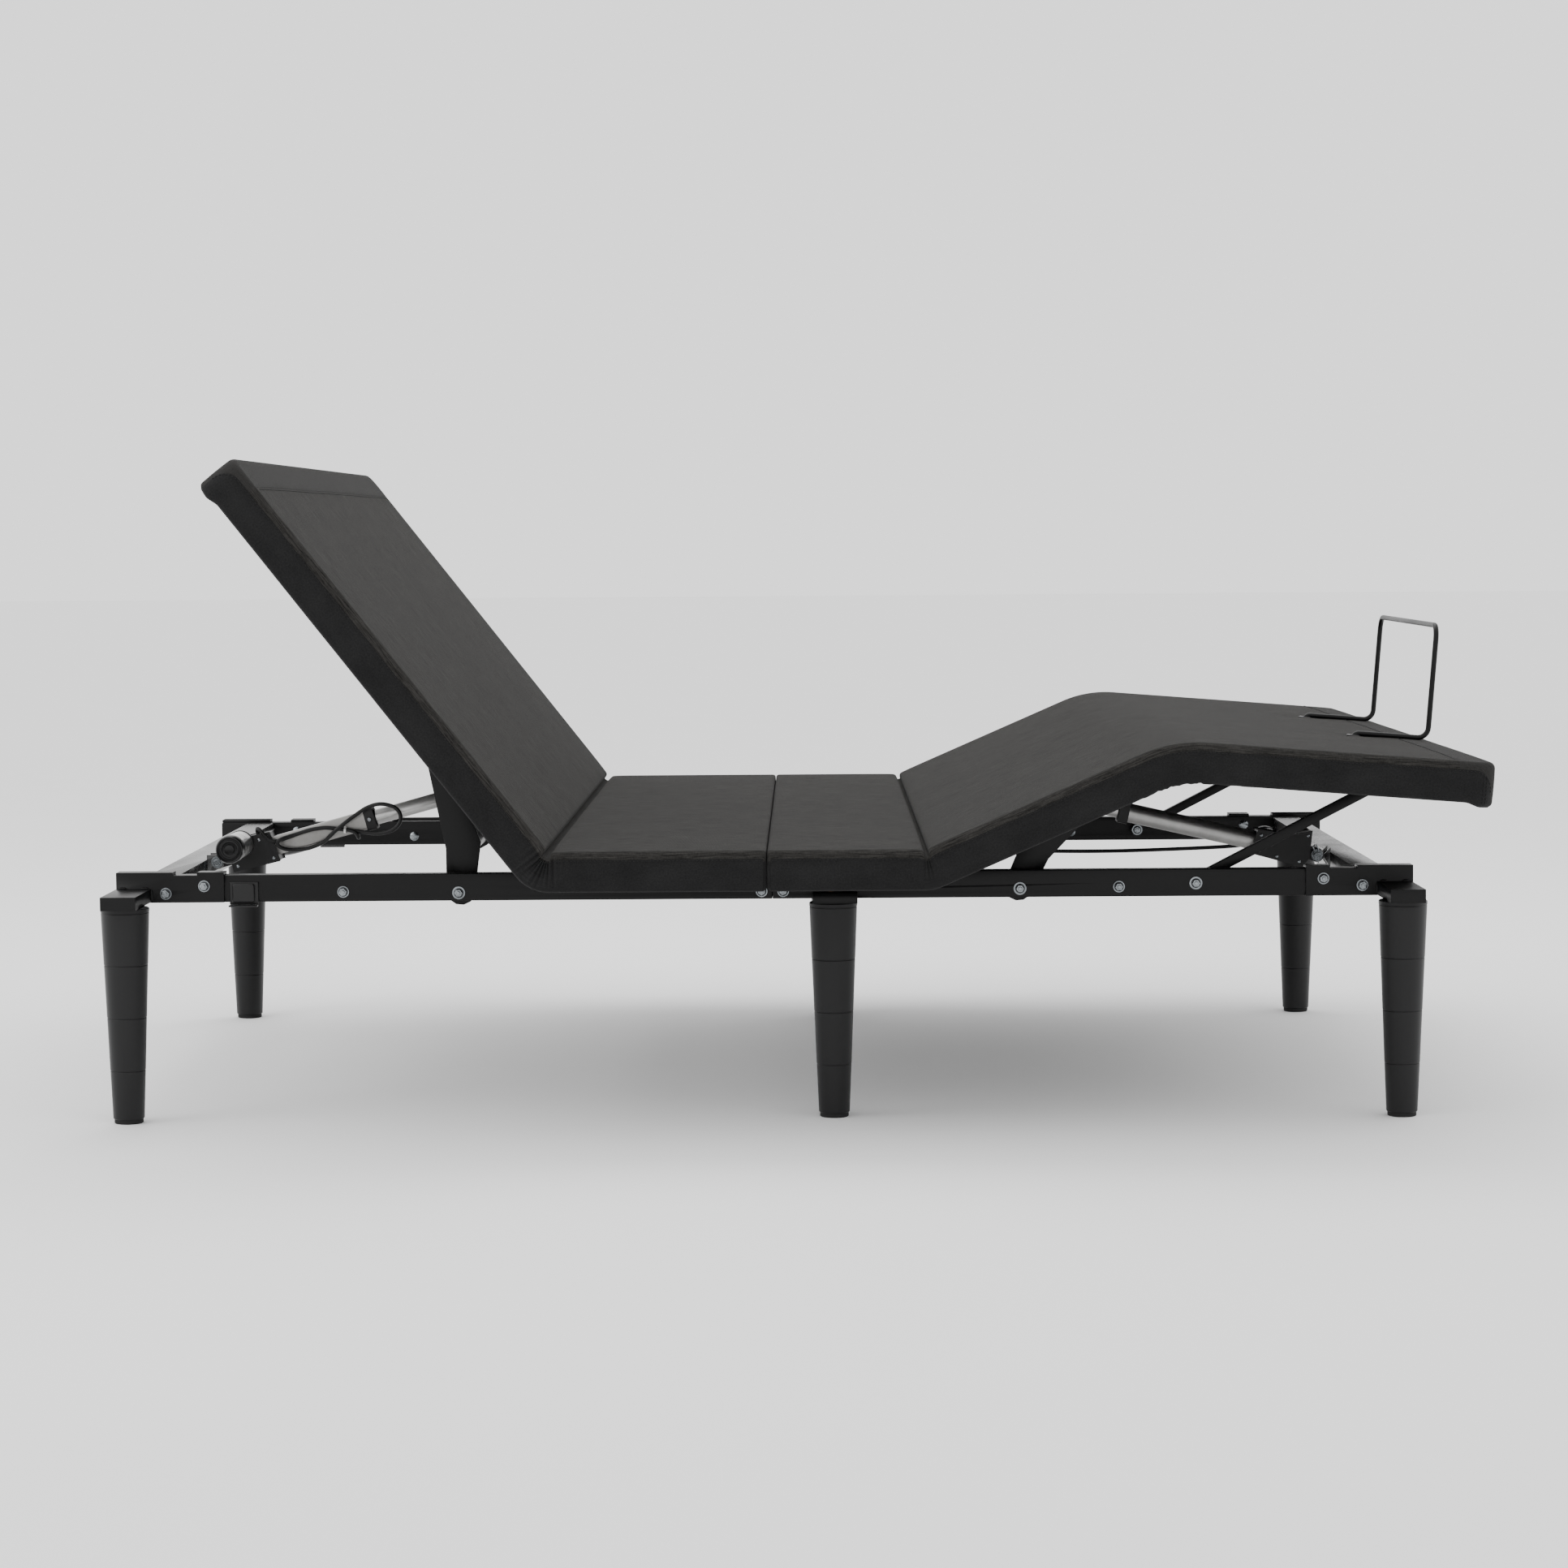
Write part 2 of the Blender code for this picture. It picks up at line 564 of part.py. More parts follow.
# ---------------------------------------------------------------- actuators
def actuator(end, body, way, length, case, tube_span, motor, motor_side):
    """Gearbox, motor, outer tube and rod, drawn along the rod's axis from the base pin.

    way is +1 where the rod points along the body's +X, and -1 where it points back. case is
    the gearbox's outline and motor its motor's centre, as distances along and above the axis."""
    y = ACTUATOR_Y
    tube_start, tube_end = tube_span

    def along(a, b):
        return (a, b) if way > 0 else (-b, -a)

    tongue = box(*along(-0.0005, 0.034), y - 0.0135, y + 0.0135, -0.0105, 0.0105)
    nose = across(0.0, 0.0, y - 0.0135, y + 0.0135, 0.0110, 12)
    housing = outline([(way * a, b) for a, b in case], y - 0.026, y + 0.026)
    bore = across(0.0, 0.0, y - 0.03, y + 0.03, 0.0055, 8)
    socket = box(*along(tube_start - 0.030, tube_start + 0.02), y - 0.0148, y + 0.0148,
                 -0.0148, 0.0148)
    part(f"{end}_gearbox", BLACK, housing, joined=[tongue, nose], cut=[bore, socket], body=body)

    centre = (way * motor[0], motor[1])
    can_y = sorted((y + motor_side * 0.118, y + motor_side * 0.0263))
    cap_y = sorted((y + motor_side * 0.134, y + motor_side * 0.1165))
    can = across(*centre, *can_y, 0.0195, 16)
    cap = across(*centre, *cap_y, 0.0208, 16)
    part(f"{end}_motor", SILVER, can, joined=[cap], body=body, smooth=True)

    tube_ends = ((way * (tube_start - 0.028), y, 0.0), (way * tube_end, y, 0.0))
    if end == "foot":
        tube = rod(*tube_ends, 0.0146, 16)
    else:
        tube = box(*along(tube_start - 0.028, tube_end), y - 0.0143, y + 0.0143, -0.0143, 0.0143)
    clamp = box(*along(tube_end - 0.014, tube_end + 0.001), y - 0.0170, y + 0.0170,
                -0.0170, 0.0170)
    hole = rod((way * (tube_start - 0.020), y, 0.0), (way * (tube_end + 0.02), y, 0.0), 0.0122, 12)
    part(f"{end}_outer_tube", SILVER, tube, joined=[clamp], cut=[hole], body=body)

    piston = rod((way * (tube_end - 0.066), y, 0.0), (way * (length - 0.012), y, 0.0), 0.0115, 14)
    eye = across(way * length, 0.0, y - 0.0107, y + 0.0107, 0.0105, 12)
    neck = rod((way * (length - 0.016), y, 0.0), (way * (length - 0.004), y, 0.0), 0.0098, 12)
    part(f"{end}_rod", SILVER, piston, joined=[eye, neck], body=body, smooth=True)


def actuators():
    head_case = [(0.022, -0.020), (0.024, 0.020), (0.040, 0.0245), (0.090, 0.0225),
                 (0.094, -0.0225)]
    foot_case = [(0.0124, -0.0066), (0.0166, 0.0341), (0.0455, 0.0205), (0.096, 0.0175),
                 (0.100, -0.0175), (0.0191, -0.0208)]
    head_length = math.dist(ACTUATOR_HEAD, ROD_PIN_HEAD)
    foot_length = math.dist(ACTUATOR_FOOT, ROD_PIN_FOOT)
    actuator("head", HEAD_ACT, 1, head_length, head_case, (0.090, 0.248), (0.0435, 0.0178), -1)
    actuator("foot", FOOT_ACT, -1, foot_length, foot_case, (0.096, 0.306), (0.062, -0.002), 1)
    for end, (x, z) in (("head", ACTUATOR_HEAD), ("foot", ACTUATOR_FOOT)):
        pin = across(x, z, ACTUATOR_Y - 0.0260, ACTUATOR_Y + 0.0215, 0.0050, 10)
        washer = across(x, z, ACTUATOR_Y - 0.0213, ACTUATOR_Y - 0.0198, 0.0090, 12)
        part(f"{end}_actuator_pin", ZINC, pin, joined=[washer], smooth=True)


# ---------------------------------------------------------------- deck
BOARD_TOP = DECK_TOP - PAD - GAP
BOARD_LOW = DECK_TOP - SLAB


def end_profile(hinge, fold, way, convex, top, low):
    """The end of a panel at a fold, from its top edge down: leaning back from the hinge line
    above it at a hollow fold, or below it at a ridge. way points from the hinge to the panel."""
    tip = 0.0006
    tilt = math.tan(math.radians(fold))
    rows = sorted({top, low, HINGE_Z} if low < HINGE_Z else {top, low}, reverse=True)
    points = []
    for z in rows:
        leaning = (HINGE_Z - z) if convex else (z - HINGE_Z)
        points.append((hinge + way * (tip + max(0.0, leaning) * tilt), z))
    return points


def panel_outline(left, right, top, low):
    """A panel's side outline between two end profiles, each listed from the top down."""
    return [*left(top, low), *reversed(right(top, low))]


def straight(x):
    return lambda top, low: [(x, top), (x, low)]


def folded(hinge, fold, way, convex=False):
    return lambda top, low: end_profile(hinge, fold, way, convex, top, low)


def deck_panel(name, left, right, body, ends=(False, False), sockets=tuple, battens=(),
               pocket=None):
    """Board with edge battens, and the padded cover that caps it like a lid.

    ends says which ends are free edges, where the cover turns down over the board. sockets
    makes the holes that go through both, and pocket is an opening in the board alone."""
    inset = [EDGE if free else 0.0 for free in ends]

    def moved(profile, shift):
        return lambda top, low: [(x + shift, z) for x, z in profile(top, low)]

    board_left, board_right = moved(left, inset[0]), moved(right, -inset[1])
    inner = HALF_WIDTH - EDGE
    low = DECK_BOTTOM + 0.0005
    plate = outline(panel_outline(board_left, board_right, BOARD_TOP, low), -inner, inner)
    x_left = min(x for x, _ in board_left(BOARD_TOP, low))
    x_right = max(x for x, _ in board_right(BOARD_TOP, low))
    recess0 = x_left + (0.045 if ends[0] else -0.1)
    recess1 = x_right - (0.045 if ends[1] else -0.1)
    recess = box(recess0, recess1, -0.700, 0.700, DECK_BOTTOM - 0.05, BOARD_LOW)
    cut = [recess, *sockets()]
    if pocket is not None:
        cut.append(box(*pocket, DECK_BOTTOM, BOARD_TOP + 0.01))
    board = part(f"{name}_board", BOARD, plate, cut=cut, body=body)
    for batten in battens:
        add_boolean(board, "UNION", batten, body)

    lid = outline(panel_outline(left, right, DECK_TOP, DECK_BOTTOM), -HALF_WIDTH, HALF_WIDTH)
    hollow_left = moved(left, inset[0] - GAP if ends[0] else -0.2)
    hollow_right = moved(right, -inset[1] + GAP if ends[1] else 0.2)
    room = outline(
        panel_outline(hollow_left, hollow_right, BOARD_TOP + GAP, DECK_BOTTOM - 0.02),
        -inner - GAP, inner + GAP,
    )
    part(f"{name}_pad", FABRIC, lid, cut=[room, *sockets()], body=body)


def deck():
    half_gap = 0.0008
    # The pockets clear the actuators' motor and gearbox when the panels lie flat.
    deck_panel("head", straight(HEAD_END), folded(HEAD_HINGE, HEAD_FOLD, -1), HEAD,
               ends=(True, False), pocket=(-0.866, -0.776, -0.350, -0.160))
    deck_panel(
        "seat_head", folded(HEAD_HINGE, HEAD_FOLD, 1), straight(SEAT_GAP - half_gap), None,
        battens=seat_battens(-0.290, -0.090),
    )
    deck_panel(
        "seat_foot", straight(SEAT_GAP + half_gap), folded(THIGH_HINGE, THIGH_FOLD, -1), None,
        battens=seat_battens(0.000, 0.165),
    )
    deck_panel("thigh", folded(THIGH_HINGE, THIGH_FOLD, 1),
               folded(KNEE_HINGE, KNEE_FOLD, -1, True), THIGH)
    deck_panel(
        "calf", folded(KNEE_HINGE, KNEE_FOLD, 1, True), straight(FOOT_END), CALF,
        ends=(False, True), sockets=retainer_sockets, pocket=(0.735, 0.825, -0.242, -0.158),
    )


def retainer_sockets():
    """Holes through the calf pad and board for the retainer bar's hooked ends."""
    x = RETAINER_HOOK + 0.003
    return [rod((x, y, 0.30), (x, y, 0.45), 0.0095, 8) for y in (-RETAINER_Y, RETAINER_Y)]


def seat_battens(x0, x1):
    """Battens under a fixed panel, which stand it on the rails."""
    low, high = RAIL_TOP + GAP, BOARD_LOW + 0.005
    return [box(x0, x1, *mirrored(side, 0.4565, 0.4785), low, high) for side in (-1, 1)]


def hinge_leaf(name, x, way, moving, body):
    """A hinge leaf under the fold with two sets of knuckles; the fixed leaf holds the pins."""
    top = BOARD_LOW - GAP
    x0, x1 = sorted((x + way * 0.001, x + way * 0.032))
    strip = box(x0, x1, -0.345, 0.345, top - 0.0035, top)
    rooms, knuckles, bores, pins = [], [], [], []

    def room(y0, y1):
        return box(x - 0.0080, x + 0.0080, y0, y1, top - 0.02, top + 0.01)

    if moving:
        half = KNUCKLE_HALF - GAP
        rooms += [room(-0.36, HINGE_Y[0] - half), room(HINGE_Y[0] + half, HINGE_Y[1] - half),
                  room(HINGE_Y[1] + half, 0.36)]
    for y in HINGE_Y:
        if moving:
            knuckles.append(across(x, HINGE_Z, y - half, y + half, KNUCKLE_R, 10))
            bores.append(across(x, HINGE_Z, y - 0.03, y + 0.03, 0.0034, 8))
            continue
        rooms.append(room(y - KNUCKLE_HALF, y + KNUCKLE_HALF))
        pins.append(across(x, HINGE_Z, y - 0.038, y + 0.038, 0.0030, 8))
        for side in (-1, 1):
            y0, y1 = sorted((y + side * KNUCKLE_HALF, y + side * LEAF_HALF))
            knuckles.append(across(x, HINGE_Z, y0, y1, KNUCKLE_R, 10))
    obj = part(name, COAT, strip, body=body)
    steps = (("DIFFERENCE", rooms), ("UNION", knuckles), ("DIFFERENCE", bores), ("UNION", pins))
    for kind, shapes in steps:
        for shape in shapes:
            add_boolean(obj, kind, shape, body)


def hinges():
    for fold, x, way, fixed_on, moving_on in (
        ("head", HEAD_HINGE, 1, None, HEAD),
        ("thigh", THIGH_HINGE, -1, None, THIGH),
        ("knee", KNEE_HINGE, -1, THIGH, CALF),
    ):
        hinge_leaf(f"{fold}_hinge_fixed_leaf", x, way, False, fixed_on)
        hinge_leaf(f"{fold}_hinge_moving_leaf", x, -way, True, moving_on)


def link_crossbar():
    """A bar under the calf board, with a lug beside the upper end of each link."""
    x, z = LINK_CALF_FLAT
    lug_y = LINK_Y - LINK_HALF - GAP
    top = BOARD_LOW - GAP
    bar = box(x - 0.030, x + 0.030, -lug_y, lug_y, top - 0.004, top)
    lugs = []
    for side in (-1, 1):
        y0, y1 = mirrored(side, lug_y - 0.004, lug_y)
        shape = [(x - 0.029, top - 0.001), *arc(x, z, 0.013, 180, 360, 6), (x + 0.029, top - 0.001)]
        lugs.append(outline(shape, y0, y1))
    part("calf_link_crossbar", COAT, bar, joined=lugs, body=CALF)


def retainer_bar():
    """Mattress retainer: a bent bar with hooked ends let into the calf panel."""
    lie = DECK_TOP + RETAINER_R + GAP + 0.0002
    top = DECK_TOP + RETAINER_HEIGHT

    def bend(centre, start, end, axes, radius, steps=4):
        turns = [math.radians(start + (end - start) * i / steps) for i in range(steps + 1)]
        u, v = axes
        return [centre + radius * (u * math.cos(a) + v * math.sin(a)) for a in turns]

    along, across_bed, up = Vector((1, 0, 0)), Vector((0, 1, 0)), Vector((0, 0, 1))
    r_hook, r_foot, r_top = 0.008, 0.016, 0.022
    half = [Vector((RETAINER_HOOK, -RETAINER_Y, DECK_TOP - 0.030))]
    for centre, start, end, axes, radius in (
        ((RETAINER_HOOK + r_hook, -RETAINER_Y, lie - r_hook), 180, 90, (along, up), r_hook),
        ((RETAINER_X - r_foot, -RETAINER_Y, lie + r_foot), -90, 0, (along, up), r_foot),
        ((RETAINER_X, -RETAINER_Y + r_top, top - r_top), 180, 90, (across_bed, up), r_top),
    ):
        half += bend(Vector(centre), start, end, axes, radius)
    other = [Vector((p.x, -p.y, p.z)) for p in reversed(half)]
    wire("retainer_bar", COAT, half + other, RETAINER_R, body=CALF)


# ---------------------------------------------------------------- motor cables
HEAD_CABLE = (
    (-0.822, -0.1695, 0.3500), (-0.816, -0.145, 0.3480), (-0.802, -0.090, 0.3430),
    (-0.788, 0.020, 0.3370), (-0.780, 0.150, 0.3345), (-0.774, 0.290, 0.3365),
    (-0.766, 0.390, 0.3430), (-0.753, 0.440, 0.3520), (-0.735, 0.462, 0.3530),
    (-0.700, 0.467, 0.3522), (-0.600, 0.467, 0.3522), (-0.500, 0.467, 0.3522),
    (-0.420, 0.467, 0.3522), (-0.360, 0.465, 0.3522), (-0.320, 0.450, 0.3520),
    (-0.285, 0.425, 0.3500), (-0.220, 0.395, 0.3460), (-0.130, 0.345, 0.3450),
    (-0.060, 0.280, 0.3450), (-0.035, 0.258, 0.3450), (-0.0035, 0.250, 0.3440),
)
FOOT_CABLE = (
    (0.7405, -0.0620, 0.3510), (0.738, -0.045, 0.3495), (0.725, -0.020, 0.3440),
    (0.690, 0.010, 0.3370), (0.610, 0.060, 0.3290), (0.520, 0.110, 0.3220),
    (0.440, 0.150, 0.3185), (0.380, 0.175, 0.3180), (0.300, 0.195, 0.3200),
    (0.220, 0.205, 0.3260), (0.160, 0.206, 0.3340), (0.1235, 0.205, 0.3400),
)


def cables():
    for name, knots in (("head_motor_cable", HEAD_CABLE), ("foot_motor_cable", FOOT_CABLE)):
        wire(name, RUBBER, smooth_path([Vector(p) for p in knots], 0.018), CABLE_R)


def main():
    rails()
    cross_tubes()
    splice_tube()
    outriggers()
    mid_leg_brackets()
    legs()
    pivot_bolts()
    control_box()
    lift_arms()
    foot_links()
    actuators()
    deck()
    hinges()
    link_crossbar()
    retainer_bar()
    cables()


main()
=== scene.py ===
"""Looks of the adjustable bed base: its fabric covers, steel frame, legs, actuators and cables,
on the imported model. World frame as in the part: +X to the foot end, +Z up, metres."""
import math

import bmesh
import bpy
from mathutils import Matrix, Vector


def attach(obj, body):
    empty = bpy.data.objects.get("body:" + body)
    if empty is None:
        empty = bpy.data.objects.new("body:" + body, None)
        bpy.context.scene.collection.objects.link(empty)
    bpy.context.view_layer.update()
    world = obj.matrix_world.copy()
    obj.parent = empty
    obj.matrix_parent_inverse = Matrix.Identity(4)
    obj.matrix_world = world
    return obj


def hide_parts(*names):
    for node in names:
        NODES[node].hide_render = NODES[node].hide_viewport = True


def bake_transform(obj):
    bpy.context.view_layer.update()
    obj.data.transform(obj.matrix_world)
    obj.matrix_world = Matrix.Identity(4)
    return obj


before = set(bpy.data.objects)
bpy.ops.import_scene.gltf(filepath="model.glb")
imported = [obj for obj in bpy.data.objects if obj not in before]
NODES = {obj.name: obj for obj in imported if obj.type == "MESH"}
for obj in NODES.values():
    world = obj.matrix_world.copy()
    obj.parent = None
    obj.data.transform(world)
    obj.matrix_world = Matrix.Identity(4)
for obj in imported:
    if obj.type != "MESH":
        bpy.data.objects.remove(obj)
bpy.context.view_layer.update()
SIDES = ((-1, "near"), (1, "far"))


# ------------------------------------------------------------------ camera
def camera():
    """A long lens at the near side, a little above the deck, looking straight across the bed."""
    yaw, pitch, roll = 0.0068, 0.0714, -0.007
    right = Vector((math.cos(yaw), math.sin(yaw), 0.0))
    ahead = Vector((-math.sin(yaw) * math.cos(pitch), math.cos(yaw) * math.cos(pitch), -math.sin(pitch)))
    up = right.cross(ahead)
    x_axis = math.cos(roll) * right + math.sin(roll) * up
    y_axis = -math.sin(roll) * right + math.cos(roll) * up
    turn = Matrix((x_axis, y_axis, -ahead)).transposed().to_4x4()
    data = bpy.data.cameras.new("camera")
    data.lens = 81.47
    data.sensor_width = 36.0
    obj = linked("camera", data)
    obj.matrix_world = Matrix.Translation((0.0285, -5.5961, 0.8419)) @ turn
    bpy.context.scene.camera = obj


# ------------------------------------------------------------------ materials
class Look:
    """A node material, built up a step at a time."""

    def __init__(self, name, colour, roughness, metallic=0.0, **sockets):
        self.made = bpy.data.materials.new(name)
        self.made.use_nodes = True
        self.nodes = self.made.node_tree.nodes
        self.links = self.made.node_tree.links
        self.shader = self.nodes["Principled BSDF"]
        self.shader.inputs["Base Color"].default_value = (*colour, 1.0)
        self.shader.inputs["Roughness"].default_value = roughness
        self.shader.inputs["Metallic"].default_value = metallic
        for socket, value in sockets.items():
            self.shader.inputs[socket.replace("_", " ")].default_value = value
        self.bump_out = None

    def node(self, kind, **settings):
        made = self.nodes.new("ShaderNode" + kind)
        for key, value in settings.items():
            setattr(made, key, value)
        return made

    def put(self, node, **values):
        """Sets or links a node's inputs, by name or, as _0, _1 and so on, by number."""
        for key, value in values.items():
            socket = node.inputs[int(key[1:])] if key[1:].isdigit() else node.inputs[key.replace("_", " ")]
            if isinstance(value, bpy.types.NodeSocket):
                self.links.new(value, socket)
            else:
                socket.default_value = value
        return node

    def coords(self, kind="Object", scale=(1.0, 1.0, 1.0)):
        source = self.node("TexCoord").outputs[kind]
        mapping = self.put(self.node("Mapping"), Vector=source, Scale=scale)
        return mapping.outputs["Vector"]

    def noise(self, vector, scale, detail=2.0, rough=0.5):
        made = self.put(self.node("TexNoise"), Vector=vector, Scale=scale, Detail=detail, Roughness=rough)
        return made.outputs["Fac"]

    def math(self, operation, a, b=0.0, c=0.0):
        made = self.put(self.node("Math", operation=operation), _0=a, _1=b, _2=c)
        return made.outputs[0]

    def fit(self, value, low, high, to_low=0.0, to_high=1.0):
        made = self.put(self.node("MapRange"), Value=value, From_Min=low, From_Max=high,
                        To_Min=to_low, To_Max=to_high)
        return made.outputs[0]

    def wave(self, direction, vector, scale, distortion):
        made = self.put(self.node("TexWave", bands_direction=direction), Vector=vector, Scale=scale,
                        Distortion=distortion)
        return made.outputs["Fac"]

    def mix(self, factor, a, b):
        made = self.node("Mix", data_type="RGBA")
        a, b = ((*end, 1.0) if isinstance(end, tuple) else end for end in (a, b))
        self.put(made, _0=factor, _6=a, _7=b)
        return made.outputs[2]

    def colour(self, socket):
        self.links.new(socket, self.shader.inputs["Base Color"])

    def rough(self, socket):
        self.links.new(socket, self.shader.inputs["Roughness"])

    def bump(self, height, distance, strength=1.0):
        made = self.put(self.node("Bump"), Height=height, Distance=distance, Strength=strength)
        if self.bump_out is not None:
            self.links.new(self.bump_out, made.inputs["Normal"])
        self.bump_out = made.outputs["Normal"]
        self.links.new(self.bump_out, self.shader.inputs["Normal"])


def woven(name, dark, light, streak):
    """Heathered slub weave. Its UV map is in metres: U along the bed, V across it."""
    look = Look(name, dark, 0.9, Sheen_Weight=0.020, Sheen_Roughness=0.5, Specular_IOR_Level=0.06)
    fine_share, cross_share, cloud_share = 0.5, 0.35, 0.08
    slub = look.noise(look.coords("UV", (26.0, 520.0, 1.0)), 1.0, 3.0, 0.65)
    slub_fine = look.noise(look.coords("UV", (120.0, 1500.0, 1.0)), 1.0, 2.0, 0.6)
    cross = look.noise(look.coords("UV", (1300.0, 140.0, 1.0)), 1.0, 2.0, 0.6)
    cloud = look.noise(look.coords("UV", (5.0, 9.0, 1.0)), 1.0, 3.0, 0.55)
    heather = look.math("MULTIPLY_ADD", slub, streak, look.math("MULTIPLY", slub_fine, fine_share))
    heather = look.math("MULTIPLY_ADD", cross, cross_share, heather)
    heather = look.math("MULTIPLY_ADD", cloud, cloud_share, heather)
    middle = (streak + fine_share + cross_share + cloud_share) / 2
    spread = 0.12 + 0.08 * streak
    factor = look.fit(heather, middle - spread, middle + spread)
    look.colour(look.mix(factor, dark, light))
    weave = look.math("MULTIPLY", look.wave("X", look.coords("UV"), 200.0, 0.5),
                      look.wave("Y", look.coords("UV"), 230.0, 0.5))
    height = look.math("MULTIPLY_ADD", slub_fine, 1.2, weave)
    look.bump(height, 0.00035, 0.55)
    look.bump(slub, 0.0003, 0.30)
    return look.made


def twill():
    """Near-black border cloth with a fine diagonal rib and a brushed sheen."""
    look = Look("border_twill", (0.012, 0.012, 0.0125), 0.88, Sheen_Weight=0.05,
                Sheen_Roughness=0.4, Specular_IOR_Level=0.15)
    mapping = look.put(look.node("Mapping"), Vector=look.node("TexCoord").outputs["UV"],
                       Rotation=(0.0, 0.0, math.radians(45)))
    rib = look.wave("X", mapping.outputs["Vector"], 260.0, 1.2)
    nap = look.noise(look.coords("UV", (420.0, 420.0, 1.0)), 1.0, 3.0, 0.7)
    cloud = look.noise(look.coords("UV", (14.0, 22.0, 1.0)), 1.0, 3.0, 0.6)
    factor = look.math("MULTIPLY_ADD", nap, 0.8, look.math("MULTIPLY", cloud, 0.5))
    factor = look.fit(factor, 0.45, 0.85)
    look.colour(look.mix(factor, (0.0048, 0.0048, 0.0050), (0.0145, 0.0145, 0.0147)))
    look.bump(look.math("MULTIPLY_ADD", nap, 1.1, rib), 0.0004, 0.5)
    look.bump(cloud, 0.0015, 0.3)
    return look.made


def powder_coat(name="powder_coat", base=(0.0026, 0.0026, 0.0027), roughness=0.36, shine=0.18,
                peel_depth=0.00012):
    """Satin black powder coat: fine orange peel, faint cloudiness and a little dust."""
    look = Look(name, base, roughness, Specular_IOR_Level=shine)
    peel = look.noise(look.coords(), 900.0, 2.0, 0.5)
    cloud = look.noise(look.coords(), 7.0, 4.0, 0.6)
    fine = look.noise(look.coords(), 160.0, 3.0, 0.6)
    lighter = tuple(c * 1.9 for c in base)
    look.colour(look.mix(look.fit(cloud, 0.35, 0.75), base, lighter))
    spread = look.math("MULTIPLY_ADD", fine, 0.10, look.fit(cloud, 0.3, 0.7, roughness - 0.08, roughness))
    look.rough(spread)
    look.bump(peel, peel_depth, 0.5)
    return look.made


def leg_plastic():
    """Charcoal moulded leg: a satin skin with soft vertical cloudiness."""
    look = Look("leg_satin", (0.0075, 0.0075, 0.0078), 0.40, Specular_IOR_Level=0.24)
    cloud = look.noise(look.coords(scale=(18.0, 18.0, 2.0)), 1.0, 4.0, 0.6)
    grain = look.noise(look.coords(), 1200.0, 2.0, 0.5)
    look.colour(look.mix(look.fit(cloud, 0.3, 0.7), (0.0052, 0.0052, 0.0055), (0.0090, 0.0090, 0.0094)))
    look.rough(look.fit(cloud, 0.3, 0.7, 0.38, 0.50))
    look.bump(grain, 0.00010, 0.5)
    return look.made


def metal(name, colour, roughness, stretch, wear=0.2):
    """Bare or plated metal. Its marks are finest along the axes where stretch is largest."""
    spread = 0.12
    look = Look(name, colour, roughness, 1.0)
    marks = look.noise(look.coords(scale=stretch), 1.0, 3.0, 0.65)
    patch = look.noise(look.coords(), 45.0, 4.0, 0.6)
    darker = tuple(c * (1 - wear) for c in colour)
    look.colour(look.mix(look.fit(patch, 0.35, 0.7), colour, darker))
    look.rough(look.math("MULTIPLY_ADD", marks, spread, roughness - spread / 2))
    look.bump(marks, 0.00008, 0.5)
    return look.made


def coated(name, colour, roughness, grain=700.0):
    """Moulded plastic, rubber or paint with a fine grain."""
    look = Look(name, colour, roughness, Specular_IOR_Level=0.3)
    speck = look.noise(look.coords(), grain, 2.0, 0.5)
    patch = look.noise(look.coords(), 25.0, 3.0, 0.6)
    look.colour(look.mix(look.fit(patch, 0.35, 0.7), colour, tuple(c * 1.35 for c in colour)))
    look.rough(look.fit(patch, 0.3, 0.7, roughness - 0.05, roughness + 0.06))
    look.bump(speck, 0.00015, 0.5)
    return look.made


def dust_cover():
    """Black spun cloth under the boards, with a dimpled bond pattern."""
    look = Look("dust_cover", (0.016, 0.016, 0.017), 0.92, Specular_IOR_Level=0.2)
    dimple = look.put(look.node("TexVoronoi"), Vector=look.coords(), Scale=380.0)
    fibre = look.noise(look.coords(), 240.0, 4.0, 0.7)
    look.colour(look.mix(look.fit(fibre, 0.35, 0.7), (0.004, 0.004, 0.0044), (0.011, 0.011, 0.0114)))
    look.bump(look.math("MULTIPLY_ADD", fibre, 0.6, dimple.outputs["Distance"]), 0.0005, 0.5)
    return look.made


